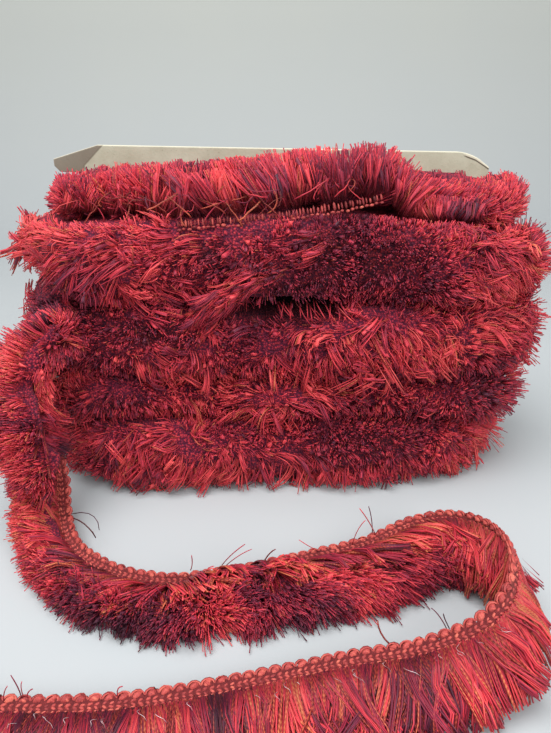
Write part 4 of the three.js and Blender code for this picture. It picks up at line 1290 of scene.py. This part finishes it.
filament_run = draw.uniform(*np.interp(FILAMENT_ROWS, ROUTE_ROWS, ROUTE_RUN), FILAMENTS)
spot, along, fringe, face = heading_at(filament_run)
root = spot + MM * draw.uniform(*FILAMENT_ROOTS, FILAMENTS)[:, None] * fringe
root += (BRAID_THICK / 2 + 0.8 * MM) * face
swing = MM * draw.uniform(*FILAMENT_SWING, FILAMENTS)[:, None]
lean = draw.normal(size=(FILAMENTS, 1))
filaments = np.stack([
    root + part * swing * fringe + swing * (0.5 * lean * part + 0.3 * math.sin(5 * part)) * along
    + 1.6 * MM * math.sin(math.pi * part) * face for part in np.linspace(0, 1, 5)
], 1)
filament_shade = np.full(FILAMENTS, 0.5)
fringe_pieces.append(
    yarn_piece("loose_filaments", filaments, filament_shade, clear_thread(), FILAMENT_THICK, 0.0))


# Studio: a pale, smooth sweep of paper under and behind the roll, graded in tone from floor to wall as
# painted light, a large soft light overhead and in front, and the camera a little above the roll, looking
# down at it.
FLOOR_PALE = (0.435, 0.46, 0.475, 1)
WALL_PALE = (0.5, 0.51, 0.475, 1)
SWEEP_NEAR = -1.2
SWEEP_BACK = 0.55  # where it begins to bend up
SWEEP_RADIUS = 0.35
SWEEP_WALL = 1.4
SWEEP_HALF = 1.6
LAMPS = [
    # name, place, aim, size, power
    ("overhead_softbox", (-0.25, -0.35, 1.15), (0, -0.05, 0.05), 0.9, 18.0),
    ("front_softbox", (0.7, -0.95, 0.75), (0, -0.02, 0.08), 0.7, 8.0),
]
AIR = (0.95, 0.98, 0.99, 1)
AIR_STRENGTH = 0.55
CAMERA_PLACE = (0.002, -0.314, 0.200)
CAMERA_PITCH = 25  # degrees below level
FOCAL_PIXELS = 551
IMAGE_HEIGHT = 733
SENSOR = 36.0


def pale_paper():
    material = surface("pale_paper", {"Roughness": 0.8, "Specular IOR Level": 0.2})
    place = own_place(material)
    height = put(material, "SeparateXYZ", {"Vector": place}).outputs["Z"]
    # Painted light: the paper's tone grades with height from the floor's to the wall's, as one paper lit
    # differently up the sweep.
    level = maths(material, "MULTIPLY_ADD", grain(material, place, 6.0, 4.0), 0.12, height)
    return dressed(material, ramp(material, level, [(0.05, FLOOR_PALE), (0.5, WALL_PALE)]))


sweep = bmesh.new()
bmesh.ops.create_grid(sweep, x_segments=2, y_segments=60, size=1.0)
flat_run = SWEEP_BACK - SWEEP_NEAR
bow_run = SWEEP_RADIUS * math.pi / 2
for vert in sweep.verts:
    run = (vert.co.y + 1) / 2 * (flat_run + bow_run + SWEEP_WALL)
    angle = min(max(run - flat_run, 0.0) / SWEEP_RADIUS, math.pi / 2)
    vert.co = (
        vert.co.x * SWEEP_HALF,
        SWEEP_NEAR + min(run, flat_run) + SWEEP_RADIUS * math.sin(angle),
        SWEEP_RADIUS * (1 - math.cos(angle)) + max(run - flat_run - bow_run, 0.0),
    )
for face in sweep.faces:
    face.smooth = True
sweep_mesh = mesh_of("paper_sweep", sweep)
sweep_mesh.materials.append(pale_paper())
paper = bpy.data.objects.new("paper_sweep", sweep_mesh)
bpy.context.scene.collection.objects.link(paper)

for name, place, aim, size, power in LAMPS:
    lamp = bpy.data.lights.new(name, "AREA")
    lamp.size = size
    lamp.energy = power
    light = bpy.data.objects.new(name, lamp)
    light.location = place
    light.rotation_euler = (Vector(aim) - Vector(place)).to_track_quat("-Z", "Y").to_euler()
    bpy.context.scene.collection.objects.link(light)

sky = bpy.data.worlds.new("studio_air")
sky.use_nodes = True
sky.node_tree.nodes["Background"].inputs["Color"].default_value = AIR
sky.node_tree.nodes["Background"].inputs["Strength"].default_value = AIR_STRENGTH
bpy.context.scene.world = sky
bpy.context.scene.view_settings.view_transform = "Standard"

lens = bpy.data.cameras.new("camera")
lens.sensor_width = SENSOR
lens.lens = SENSOR * FOCAL_PIXELS / IMAGE_HEIGHT
camera = bpy.data.objects.new("camera", lens)
camera.location = CAMERA_PLACE
camera.rotation_euler = (math.radians(90 - CAMERA_PITCH), 0, 0)
bpy.context.scene.collection.objects.link(camera)
bpy.context.scene.camera = camera
